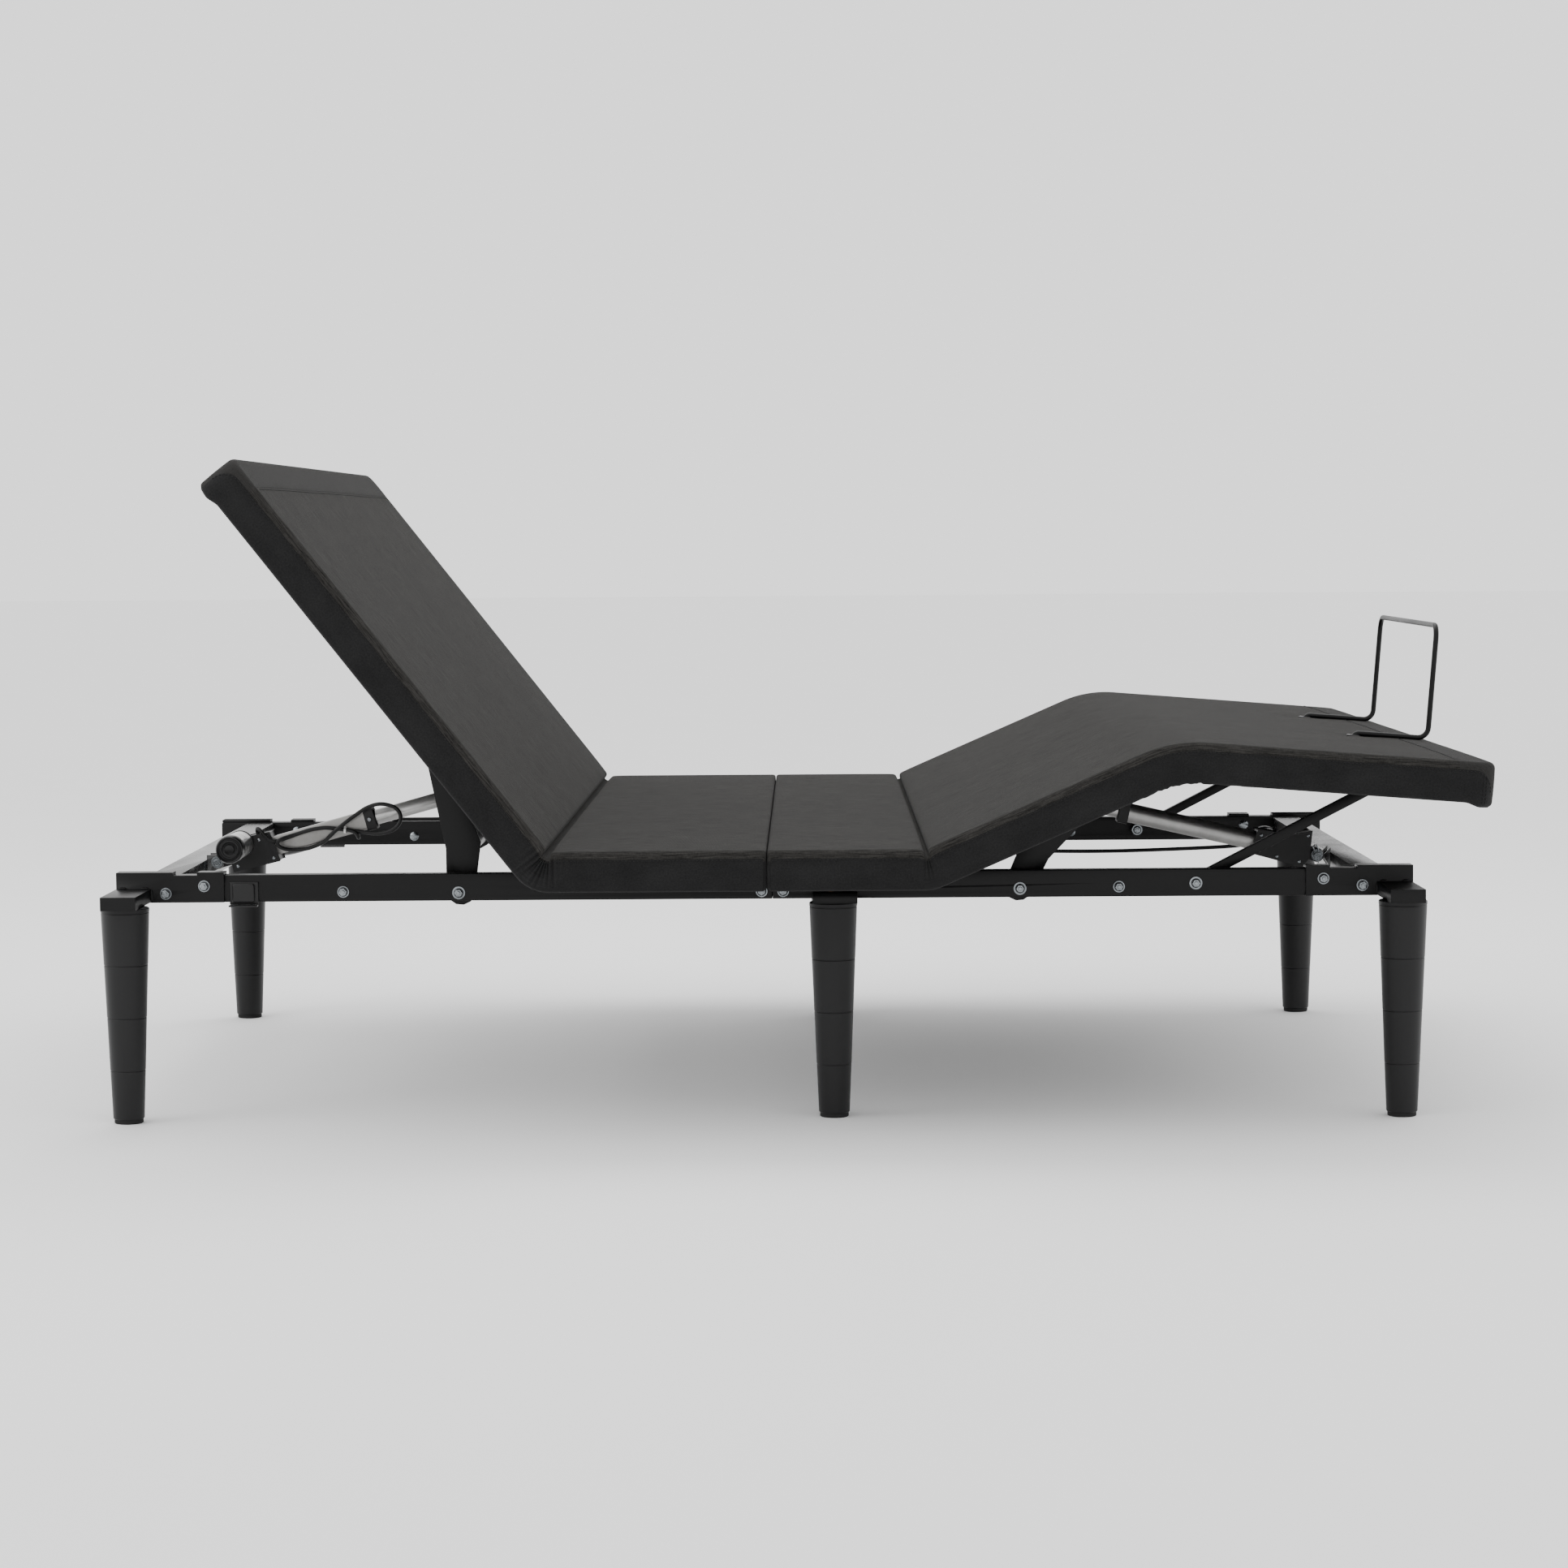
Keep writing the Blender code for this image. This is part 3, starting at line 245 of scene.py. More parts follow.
def looks():
    """Every material, by the short name that the pieces use."""
    return {
        "top": woven("deck_weave", (0.0062, 0.0060, 0.0056), (0.0370, 0.0356, 0.0335), 1.0),
        "band": woven("band_weave", (0.0160, 0.0156, 0.0151), (0.0300, 0.0292, 0.0282), 0.35),
        "twill": twill(),
        "thread": coated("seam_thread", (0.0025, 0.0025, 0.0025), 0.7),
        "coat": powder_coat(),
        "gloss": powder_coat("gloss_coat", (0.006, 0.006, 0.0062), 0.26, 0.75, 0.00002),
        "leg": leg_plastic(),
        "zinc": metal("zinc_plate", (0.27, 0.29, 0.305), 0.27, (400.0, 400.0, 400.0), wear=0.5),
        # shade: a darker zinc for the nut flanges, painted shade in the gap between washer and nut
        "shade": metal("zinc_flange_painted_shade", (0.055, 0.058, 0.062), 0.42, (400.0, 400.0, 400.0), wear=0.5),
        "copper": metal("copper_plate", (0.62, 0.28, 0.12), 0.34, (300.0, 300.0, 300.0)),
        "can": metal("motor_can", (0.66, 0.66, 0.65), 0.30, (900.0, 12.0, 900.0)),
        "tube": metal("tube_aluminium", (0.47, 0.465, 0.455), 0.42, (12.0, 900.0, 900.0)),
        "rod": metal("rod_steel", (0.56, 0.555, 0.545), 0.34, (10.0, 700.0, 700.0)),
        "tube_grey": metal("tube_grey", (0.30, 0.295, 0.285), 0.38, (12.0, 900.0, 900.0)),
        "housing": coated("housing_plastic", (0.0045, 0.0045, 0.0047), 0.40),
        "cap": coated("motor_cap", (0.0035, 0.0035, 0.0037), 0.30),
        "rubber": coated("cable_rubber", (0.0040, 0.0040, 0.0040), 0.48, 500.0),
        "foot": coated("foot_rubber", (0.006, 0.006, 0.006), 0.75),
        "tie": coated("cable_tie", (0.62, 0.62, 0.60), 0.35),
        "dust": dust_cover(),
    }


# ------------------------------------------------------------------ mesh tools
def linked(name, data):
    """A new object with this data, in the scene."""
    obj = bpy.data.objects.new(name, data)
    bpy.context.scene.collection.objects.link(obj)
    return obj


def from_bmesh(name, bm, looks_used):
    """A new object made of bm, which is used up."""
    mesh = bpy.data.meshes.new(name)
    bm.to_mesh(mesh)
    bm.free()
    for look in looks_used:
        mesh.materials.append(look)
    return linked(name, mesh)


def smooth(obj, angle):
    """Shades obj smooth, except over edges sharper than angle."""
    obj.data.shade_smooth()
    obj.data.set_sharp_from_angle(angle=math.radians(angle))
    return obj


def as_object(name, bm, looks_used, angle=38):
    """Turns closed pieces in bm into an object, their faces turned out."""
    bmesh.ops.recalc_face_normals(bm, faces=bm.faces)
    return smooth(from_bmesh(name, bm, looks_used), angle)


def settle(obj):
    """Applies obj's modifiers, so that its mesh is final."""
    bpy.context.view_layer.update()
    graph = bpy.context.evaluated_depsgraph_get()
    mesh = bpy.data.meshes.new_from_object(obj.evaluated_get(graph))
    obj.modifiers.clear()
    obj.data = mesh
    return obj


def lathe(bm, profile, place, segments=48, slot=0):
    """Adds a turned shape to bm. profile is (radius, height) pairs; place is its matrix.

    A profile that stays off the axis is closed on itself, as a ring."""
    rings = []
    for r, z in profile:
        if r < 1e-7:
            rings.append([bm.verts.new(place @ Vector((0.0, 0.0, z)))])
            continue
        ring = []
        for k in range(segments):
            a = 2 * math.pi * k / segments
            ring.append(bm.verts.new(place @ Vector((r * math.cos(a), r * math.sin(a), z))))
        rings.append(ring)
    pairs = list(zip(rings, rings[1:]))
    if len(rings[0]) > 1 and len(rings[-1]) > 1:
        pairs.append((rings[-1], rings[0]))
    for a, b in pairs:
        for k in range(segments):
            n = (k + 1) % segments
            corners = [a[k % len(a)], a[n % len(a)], b[n % len(b)], b[k % len(b)]]
            unique = list(dict.fromkeys(corners))
            if len(unique) > 2:
                bm.faces.new(unique).material_index = slot


def skin(bm, rings, slot=0, joined=False):
    """Adds the faces between neighbouring rings, and closes both ends or joins them."""
    count = len(rings[0])
    for a, b in zip(rings, rings[1:] + rings[:1] if joined else rings[1:]):
        for k in range(count):
            n = (k + 1) % count
            bm.faces.new((a[k], a[n], b[n], b[k])).material_index = slot
    for ring in () if joined else (rings[0], rings[-1]):
        bm.faces.new(ring).material_index = slot


def towards(point, direction, spin=0.0):
    """A matrix at point whose Z axis lies along direction."""
    turn = Vector(direction).to_track_quat("Z", "Y").to_matrix().to_4x4()
    return Matrix.Translation(point) @ turn @ Matrix.Rotation(spin, 4, "Z")


def sweep(bm, points, outline, slot=0):
    """Adds outline, a list of (x, y), swept along points with no twist."""
    points = [Vector(p) for p in points]
    tangents = []
    for k, p in enumerate(points):
        a, b = points[max(k - 1, 0)], points[min(k + 1, len(points) - 1)]
        tangents.append((b - a).normalized())
    side = tangents[0].orthogonal().normalized()
    if abs(tangents[0].y) < 0.9:
        side = Vector((0.0, 1.0, 0.0))
    rings = []
    for p, t in zip(points, tangents):
        side = (side - t * side.dot(t)).normalized()
        other = t.cross(side)
        rings.append([bm.verts.new(p + side * x + other * y) for x, y in outline])
    skin(bm, rings, slot)


def circle(radius, sides):
    turns = [2 * math.pi * k / sides for k in range(sides)]
    return [(radius * math.cos(a), radius * math.sin(a)) for a in turns]


def rounded_square(half, radius, steps=4):
    points = []
    for cx, cy, start in ((1, 1, 0), (-1, 1, 90), (-1, -1, 180), (1, -1, 270)):
        for k in range(steps + 1):
            a = math.radians(start + 90 * k / steps)
            points.append((cx * (half - radius) + radius * math.cos(a),
                           cy * (half - radius) + radius * math.sin(a)))
    return points


def curve_through(knots, spacing):
    """Points a spacing apart on the smooth curve through the knots."""
    knots = [Vector(k) for k in knots]
    ends = [knots[0] * 2 - knots[1], *knots, knots[-1] * 2 - knots[-2]]
    fine = []
    for a, b, c, d in zip(ends, ends[1:], ends[2:], ends[3:]):
        for i in range(24):
            t = i / 24
            fine.append(0.5 * (2 * b + (c - a) * t + (2 * a - 5 * b + 4 * c - d) * t**2
                               + (3 * b - a - 3 * c + d) * t**3))
    fine.append(knots[-1])
    kept, walked = [fine[0]], 0.0
    for a, b in zip(fine, fine[1:]):
        walked += (b - a).length
        if walked >= spacing:
            kept.append(b)
            walked = 0.0
    kept[-1] = fine[-1]
    return kept


def block(bm, x_span, y_span, z_span, soft, steps=3):
    """Adds a box to bm, its edges rounded by soft."""
    spans = (x_span, y_span, z_span)
    middle = Matrix.Translation([(low + high) / 2 for low, high in spans])
    sizes = Matrix.Diagonal([*(abs(high - low) for low, high in spans), 1])
    made = bmesh.ops.create_cube(bm, matrix=middle @ sizes)
    edges = dict.fromkeys(e for v in made["verts"] for e in v.link_edges)
    bmesh.ops.bevel(bm, geom=list(edges), offset=soft, segments=steps, affect="EDGES",
                    profile=0.5, material=-1)


def plate(bm, points, y0, y1, soft):
    """Adds a flat XZ outline, thick from y0 to y1, with slightly chamfered rims."""
    rings = []
    for y, inset in ((y0, soft), (y0 + soft, 0.0), (y1 - soft, 0.0), (y1, soft)):
        ring = []
        for k, p in enumerate(points):
            a, b = Vector(points[k - 1]), Vector(points[(k + 1) % len(points)])
            out = (b - a).normalized()
            out = Vector((out.y, -out.x))
            ring.append(bm.verts.new((p[0] - out.x * inset, y, p[1] - out.y * inset)))
        rings.append(ring)
    skin(bm, rings)


# ------------------------------------------------------------------ deck covers
HALF_WIDTH = 0.762
DECK_TOP = 0.405
COVER_DEPTH = 0.0562    # from a cover's top to its underside
CREASE_R = 0.003        # radius of the sewn creases, where two panels fold up
KNEE_R = 0.19           # radius of the padding over the knee, where they fold down
CLOTH, STRIP = 0.0011, 0.0009    # thicknesses of a cover and of the border strip sewn on it
HALF_SLIT = 0.0008      # half the gap between the two fixed seat boards' covers
HEAD_FOLD, THIGH_FOLD, KNEE_FOLD = (math.radians(a) for a in (51.9, 23.5, 28.0))
CREASE_HEAD, SEAT_GAP, CREASE_THIGH = -0.3278, -0.0288, 0.1888
HEAD_LENGTH, THIGH_LENGTH, CALF_LENGTH = 0.6895, 0.3697, 0.4455
SEAM_AT = 0.0115        # depth of the border's top edge below a cover's top
SIDE_EDGE = 0.0085      # radius from a cover's top to its wall
TURN_UNDER = 0.005      # radius from its wall to its underside
CORNER_R = 0.036        # radius of a free corner, seen from above
STRIP_R = 0.026         # radius of a border's top corner at a free end, seen from the side
BAND = 0.054            # width of the plain band across a free end
STITCH_OUT = 0.0016     # how far stitches stand out of the wall they are sewn in
BORDER_END = 0.036      # how near a free end the wall turns from twill to band cloth
GATHER, GATHER_PITCH = 0.0034, 0.0085    # height of a crease's gathers, and their spacing beside it
GATHER_ANGLE = math.radians(8.5)         # and within the crease, as an angle
FULLNESS = 0.0011       # how far a wall bellies out, half way down
HANG, PLEAT = 0.0055, 0.0015             # cloth hanging at a free end, and pleats under the knee
SLIT, SLIT_WIDTH = 0.0085, 0.0016        # depth of a sewn crease's slit, and how fast it closes
CROWN = 0.0017          # how far the padding bulges a top
PUCKER, PUCKER_REACH = 0.0011, 0.075     # the folds drawn round a hook


class Track:
    """The deck's top line in the XZ plane, walked from u = 0, and its outward normal."""

    def __init__(self, start, heading):
        self.parts, self.length = [], 0.0
        self.point, self.heading = Vector(start), heading

    @staticmethod
    def normal(heading):
        return Vector((-math.sin(heading), math.cos(heading)))

    def line(self, length):
        self.parts.append((self.length, length, self.point.copy(), self.heading, 0.0, 0.0))
        self.point += length * Vector((math.cos(self.heading), math.sin(self.heading)))
        self.length += length

    def turn(self, angle, radius):
        """Turns up by angle, or down if it is negative. Returns u at the turn's start and end."""
        length = radius * abs(angle)
        self.parts.append((self.length, length, self.point.copy(), self.heading, angle, radius))
        side = math.copysign(1, angle)
        centre = self.point + side * radius * self.normal(self.heading)
        self.heading += angle
        self.point = centre - side * radius * self.normal(self.heading)
        self.length += length
        return self.length - length, self.length

    def at(self, u):
        part = self.parts[0]
        for other in self.parts[1:]:
            if u >= other[0]:
                part = other
        u0, length, point, heading, angle, radius = part
        if not angle:
            ahead = Vector((math.cos(heading), math.sin(heading)))
            return point + (u - u0) * ahead, self.normal(heading)
        side = math.copysign(1, angle)
        centre = point + side * radius * self.normal(heading)
        now = self.normal(heading + angle * clamp((u - u0) / length))
        return centre - side * radius * now, now


def spread(a, b, step):
    """Values from a to b, about a step apart, without b."""
    count = max(1, round(abs(b - a) / step))
    return [a + (b - a) * k / count for k in range(count)]


def fold(x):
    """A soft random-looking wave, from -1 to 1, that never repeats in a cover's length."""
    return (math.sin(x) + 0.6 * math.sin(2.3 * x + 1.7) + 0.4 * math.sin(5.1 * x + 0.4)) / 2


def clamp(value, low=0.0, high=1.0):
    return min(max(value, low), high)


def outside(u, begin, finish):
    """How far u lies outside a stretch, or 0 inside it."""
    return max(begin - u, u - finish, 0.0)


class Cover:
    """One sewn cover: a top, walls and a rim turned under, over part of the deck's length.

    Its points are (u, y, d): along the deck, across it, and the depth below its top. Each of its
    ends is "free", "gap" where it meets another cover closely, or "open" where the cloth runs on.
    Each fold is (its first u, its last u, its angle, how strongly it gathers the wall)."""

    def __init__(self, track, start, end, ends, folds, hooks=()):
        self.track, self.start, self.end, self.hooks = track, start, end, hooks
        self.ends, self.folds = ends, folds

    def to_ends(self, u):
        """The kind of each end and u's distance from it."""
        return (self.ends[0], u - self.start), (self.ends[1], self.end - u)

    def gathering(self, u):
        """(distance outside the nearest hollow fold, phase of its gathers, their strength)."""
        best = (1.0, 0.0, 0.0)
        for begin, finish, angle, gathers in self.folds:
            if angle < 0:
                continue
            middle = (begin + finish) / 2
            if begin <= u <= finish:
                share = (u - middle) / (finish - begin)
                return 0.0, share * angle / GATHER_ANGLE, gathers
            away = outside(u, begin, finish)
            if away < best[0]:
                phase = angle / 2 / GATHER_ANGLE + away / GATHER_PITCH
                best = (away, phase if u > finish else -phase, gathers)
        return best

    def ridge(self, u):
        """How close u is to a ridge fold, from 0 to 1."""
        near = 0.0
        for begin, finish, angle, _ in self.folds:
            if angle < 0:
                near = max(near, math.exp(-(outside(u, begin, finish) / 0.05) ** 2))
        return near

    def hang(self, u):
        """How far the cloth hangs below the board at a free end."""
        low = 0.0
        for kind, edge in self.to_ends(u):
            if kind == "free":
                t = clamp((0.042 - edge) / 0.022)
                low = max(low, t * t * (3 - 2 * t))
        return HANG * low

    def ripple(self, u, d):
        """How far the side wall stands out at u, at depth d."""
        away, phase, gathers = self.gathering(u)
        near = math.exp(-away / 0.020) * gathers
        low = clamp((d - 0.003) / 0.009)
        fade = low * (1.0 - 0.72 * clamp((d - 0.012) / 0.044))
        gather = GATHER * near * fade * (math.cos(2 * math.pi * phase + 0.9 * fold(phase))
                                         * (0.75 + 0.35 * fold(phase * 1.7 + 2)))
        soft = 0.0005 * fold(u * 31 + 9 * d) * low
        deep = clamp(d / COVER_DEPTH)
        gather += PLEAT * self.ridge(u) * deep**2 * fold(u * 290 + 1.0)
        return gather + soft + FULLNESS * math.sin(math.pi * deep)

    def slit(self, u):
        """How deep the top is pulled down at a sewn crease."""
        deep = 0.0
        for begin, finish, angle, _ in self.folds:
            if angle > 0:
                away = outside(u, begin, finish)
                pulled = SLIT * math.exp(-away / SLIT_WIDTH) + 0.0010 * math.exp(-away / 0.012)
                deep = max(deep, pulled)
        return deep

    def slit_at(self, u, d):
        """How deep a point of the wall is pulled down there, fading out below the top."""
        return self.slit(u) * max(0.0, 1.0 - d / 0.018)

    def crown(self, u, y):
        """How far the padding bulges the top, with its soft waves and its puckers at the hooks."""
        ends = 1.0
        for kind, edge in self.to_ends(u):
            if kind != "open":
                ends *= clamp(edge / 0.05) ** 0.5
        across = max(0.0, 1.0 - (abs(y) / (HALF_WIDTH - 0.006)) ** 10)
        wave = 0.00035 * fold(u * 14 + 3 * math.sin(y * 3.1)) + 0.0003 * fold(y * 11 + 2 * u)
        pull = 0.0
        for hook_u, hook_y in self.hooks:
            away = math.hypot(u - hook_u, y - hook_y)
            turn = math.atan2(y - hook_y, u - hook_u)
            star = PUCKER * math.sin(4 * turn + 0.8) - 0.0009
            pull += star * math.exp(-(away / PUCKER_REACH) ** 2)
        return (CROWN + wave + pull) * ends * across

    def place(self, u, y, d):
        """A point of the cover in the world."""
        low = clamp((d - 0.028) / (COVER_DEPTH - 0.028), 0.0, 1.2)
        d += low * (self.hang(u) + 0.0012 * self.ridge(u) * fold(u * 230))
        point, normal = self.track.at(u)
        x, z = point - d * normal
        return Vector((x, y, z))

    def u_lines(self, low, high, corners):
        """Where the cloth's lines across the bed lie: close at corners, seams and folds."""
        marks = {low, high}
        for kind, at, way, end, corner in zip(self.ends, (low, high), (1, -1), (self.start, self.end),
                                              corners):
            marks |= {at + way * corner * k / 6 for k in range(1, 7)}
            if kind == "free":
                seam = end + way * BAND
                marks |= {seam + way * beside for beside in (-0.0012, 0.0, 0.0012, 0.003)}
                marks |= {at + way * (0.014 + 0.005 * k) for k in range(7)}
        for begin, finish, angle, _ in self.folds:
            step, count = (0.0024, 15) if angle > 0 else (0.006, 12)
            marks |= {begin - step * k for k in range(count + 1)}
            marks |= {finish + step * k for k in range(count + 1)}
            marks |= {begin - 0.0010, finish + 0.0010}
            marks |= {begin + (finish - begin) * k / 24 for k in range(25)}
        kept = []
        for mark in sorted(m for m in marks if low <= m <= high):
            if not kept or mark - kept[-1] > 0.00008:
                kept.append(mark)
        kept[-1] = high
        lines = []
        for a, b in zip(kept, kept[1:]):
            lines += spread(a, b, 0.013)
        return [*lines, high]

    def pull_in(self, u):
        """How far a free end's rounded corner draws the side in at u, and how much it leans there."""
        for kind, edge in self.to_ends(u):
            if kind == "free" and edge < CORNER_R:
                level = math.sqrt(CORNER_R**2 - (CORNER_R - edge) ** 2)
                return CORNER_R - level, CORNER_R / level
        return 0.0, 1.0

    def on_wall(self, u, d, out, side, sunk=0.0, rippled=True):
        """A point that stands out from the side's wall by out, at depth d, and is sunk from there."""
        drawn, lean = self.pull_in(u)
        y = HALF_WIDTH - drawn + out * lean + self.ripple(u, d) / lean * rippled
        return self.place(u, side * y, d + sunk)

    def build(self, name, looks_used):
        """The cloth lid: a top grid, and a skirt of rows over the edge, down and under."""
        edges = [{"open": 0.0, "gap": 0.004, "free": SIDE_EDGE}[kind] for kind in self.ends]
        corners = [{"open": 0.0, "gap": 0.003, "free": CORNER_R - SIDE_EDGE}[kind] for kind in self.ends]
        low, high = self.start + edges[0], self.end - edges[1]
        side = HALF_WIDTH - SIDE_EDGE
        us = self.u_lines(low, high, corners)
        rim = [0.0, 0.0015, 0.003, 0.006, 0.009, 0.012]
        ys = [*[-side + r for r in rim], *spread(-side + 0.020, side - 0.020, 0.020), side - 0.020,
              *[side - r for r in reversed(rim)]]

        def plan(u, y):
            """The rounded place of a grid point, and its outward direction at the rim."""
            for at, way, r in ((low, -1, corners[0]), (high, 1, corners[1])):
                if r == 0.0:
                    continue
                a = (way * (u - at) + r) / r
                b = (abs(y) - (side - r)) / r
                if a > 0 and b > 0:
                    a2, b2 = a * math.sqrt(1 - b * b / 2), b * math.sqrt(1 - a * a / 2)
                    place = (at + way * r * (a2 - 1), math.copysign(side - r + r * b2, y))
                    size = math.hypot(a2, b2)
                    return place, (way * a2 / size, math.copysign(b2 / size, y))
            return (u, y), None

        bm = bmesh.new()
        uv_of = {}
        grid = []
        for u in us:
            row = []
            for y in ys:
                (pu, py), _ = plan(u, y)
                d = self.slit(pu) - self.crown(pu, py) + self.seam_dip(pu)
                vert = bm.verts.new(self.place(pu, py, d))
                uv_of[vert] = (pu, py)
                row.append(vert)
            grid.append(row)
        ou, oy = range(len(us)), range(len(ys))

        def panel_slot(u):
            """1, the plain band, near a free end, and 0, the woven top, elsewhere."""
            return int(any(kind == "free" and edge < BAND for kind, edge in self.to_ends(u)))

        for i in ou[:-1]:
            slot = panel_slot((us[i] + us[i + 1]) / 2)
            for j in oy[:-1]:
                face = bm.faces.new((grid[i][j], grid[i + 1][j], grid[i + 1][j + 1], grid[i][j + 1]))
                face.material_index = slot

        # Once round the rim, or from one side of an open end to its other side.
        side_and_end = [(i, 0) for i in ou]
        if self.ends[1] != "open":
            side_and_end += [(len(us) - 1, j) for j in oy[1:-1]]
        back = [(i, len(ys) - 1) for i in reversed(ou)]
        if self.ends[0] != "open":
            back += [(0, j) for j in reversed(oy[1:-1])]
        columns = []
        for i, j in back + side_and_end if self.ends[1] == "open" else side_and_end + back:
            (pu, py), out = plan(us[i], ys[j])
            if out is None and j in (0, len(ys) - 1):
                out = (0.0, math.copysign(1.0, ys[j]))
            elif out is None:
                out = (-1.0 if i == 0 else 1.0, 0.0)
            edge = SIDE_EDGE * out[1] ** 2 + edges[0 if out[0] < 0 else 1] * out[0] ** 2
            columns.append(self.skirt(bm, uv_of, grid[i][j], pu, py, out, edge))
        pairs = list(zip(columns, columns[1:]))
        if "open" not in self.ends:
            pairs.append((columns[-1], columns[0]))
        for a, b in pairs:
            middle = (uv_of[a[0]][0] + uv_of[b[0]][0]) / 2
            dark = not any(kind == "free" and edge < BORDER_END for kind, edge in self.to_ends(middle))
            for k in range(len(a) - 1):
                face = bm.faces.new((a[k], a[k + 1], b[k + 1], b[k]))
                face.material_index = 2 if dark and k > 6 else panel_slot(middle)
        middle = grid[len(us) // 2][len(ys) // 2]
        return finish_cloth(name, bm, uv_of, looks_used, middle, Vector((0, 0, 1)), CLOTH)

    def seam_dip(self, u):
        """How deep the top is drawn in along the seam between the woven top and a plain band."""
        return sum(0.0011 * math.exp(-abs(edge - BAND) / 0.0012)
                   for kind, edge in self.to_ends(u) if kind == "free")

    def skirt(self, bm, uv_of, top, u, y, out, edge):
        """One column of the skirt, from the top grid's rim down and under."""
        turned_in = 0.007
        under = 0.050 if out[0] == 0 else 0.045
        if abs(out[0]) > 0.3 and self.ends[0 if out[0] < 0 else 1] == "gap":
            under = turned_in
        rows = [(edge * math.sin(a), edge * (1 - math.cos(a)))
                for a in (math.pi / 2 * k / 5 for k in range(1, 6))]
        rows += [(edge, edge + (COVER_DEPTH - TURN_UNDER - edge) * k / 12) for k in range(1, 13)]
        rows += [(edge - TURN_UNDER * (1 - math.cos(a)), COVER_DEPTH - TURN_UNDER * (1 - math.sin(a)))
                 for a in (math.pi / 2 * k / 4 for k in range(1, 5))]
        rows += [(edge - TURN_UNDER - (under - TURN_UNDER) * k, COVER_DEPTH) for k in (0.25, 0.6, 1.0)]
        column, run, last = [top], 0.0, (0.0, 0.0)
        for outset, d in rows:
            run += math.dist((outset, d), last)
            last = (outset, d)
            lift = self.ripple(u, d) * out[1] ** 2 * clamp((outset - edge + 0.006) / 0.006)
            lift += 0.0008 * math.sin(math.pi * min(d / COVER_DEPTH, 1.0)) * out[0] ** 2
            pu, py = u + out[0] * (outset + lift), y + out[1] * (outset + lift)
            if outset < 0:
                inset = edge - outset
                if out[0]:
                    pu = clamp(pu, self.start + inset, self.end - inset)
                py = clamp(py, inset - HALF_WIDTH, HALF_WIDTH - inset)
                rooms = [{"open": -1.0, "gap": turned_in, "free": inset}[kind] for kind in self.ends]
                pu = clamp(pu, self.start + rooms[0], self.end - rooms[1])
            vert = bm.verts.new(self.place(pu, py, d + self.slit_at(u, d)))
            uv_of[vert] = (u + out[0] * run, y + out[1] * run)
            column.append(vert)
        return column


def finish_cloth(name, bm, uv_of, looks_used, vert, outward, thickness):
    """Turns bm into cloth whose faces at vert look outward, thickened inwards, with its UV map."""
    layer = bm.loops.layers.uv.new("weave")
    for face in bm.faces:
        for corner in face.loops:
            corner[layer].uv = uv_of[corner.vert]
    bmesh.ops.remove_doubles(bm, verts=bm.verts, dist=0.00004)
    bmesh.ops.recalc_face_normals(bm, faces=bm.faces)
    if vert.link_faces[0].normal.dot(outward) < 0:
        bmesh.ops.reverse_faces(bm, faces=bm.faces)
    obj = from_bmesh(name, bm, looks_used)
    thick = obj.modifiers.new("thickness", "SOLIDIFY")
    thick.thickness, thick.offset = thickness, -1.0
    return smooth(settle(obj), 40)


def border(cover, name, side, look):
    """The dark strip sewn along a cover's side wall, its top corner rounded at a free end.

    Returns its object and its top edge, as (u, depth) pairs."""
    inward = {"free": 0.007, "gap": 0.0045, "open": 0.0}
    start, end = cover.start + inward[cover.ends[0]], cover.end - inward[cover.ends[1]]
    lines = cover.u_lines(start, end, (0.0, 0.0))
    for kind, at, edge, way in zip(cover.ends, (start, end), (cover.start, cover.end), (1, -1)):
        if kind == "free":
            lines += [at + way * STRIP_R * (1 - math.cos(math.pi / 2 * k / 9)) for k in range(1, 9)]
            lines += [edge + way * CORNER_R * (1 - math.cos(math.pi / 2 * k / 12)) for k in range(1, 13)]
    kept = []
    for u in sorted(lines):
        if start <= u <= end and (not kept or u - kept[-1] > 0.0002):
            kept.append(u)
    bm = bmesh.new()
    uv_of, columns, top_line = {}, [], []
    for u in kept:
        top = SEAM_AT + 0.0004 * fold(u * 40)
        for kind, edge in zip(cover.ends, (u - start, end - u)):
            if kind == "free" and edge < STRIP_R:
                top += STRIP_R - math.sqrt(max(STRIP_R**2 - (STRIP_R - edge) ** 2, 0.0))
        top_line.append((u, top))
        rows = [(top + (COVER_DEPTH - TURN_UNDER - top) * k / 11, 0.0) for k in range(12)]
        rows += [(COVER_DEPTH - TURN_UNDER * (1 - math.sin(a)), TURN_UNDER * (1 - math.cos(a)))
                 for a in (math.pi / 8 * k for k in range(1, 5))]
        rows.append((COVER_DEPTH, TURN_UNDER + 0.006))
        column = []
        for d, inset in rows:
            sunk = (0.0005 if inset > 0.004 else 0.0) + cover.slit_at(u, d)
            vert = bm.verts.new(cover.on_wall(u, d, 0.0007 - inset, side, sunk, inset < 0.006))
            uv_of[vert] = (u, side * (HALF_WIDTH + d + inset))
            column.append(vert)
        columns.append(column)
    for a, b in zip(columns, columns[1:]):
        for k in range(len(a) - 1):
            bm.faces.new((a[k], a[k + 1], b[k + 1], b[k]))
    middle = columns[len(columns) // 2][3]
    return finish_cloth(name, bm, uv_of, (look,), middle, Vector((0, side, 0)), STRIP), top_line


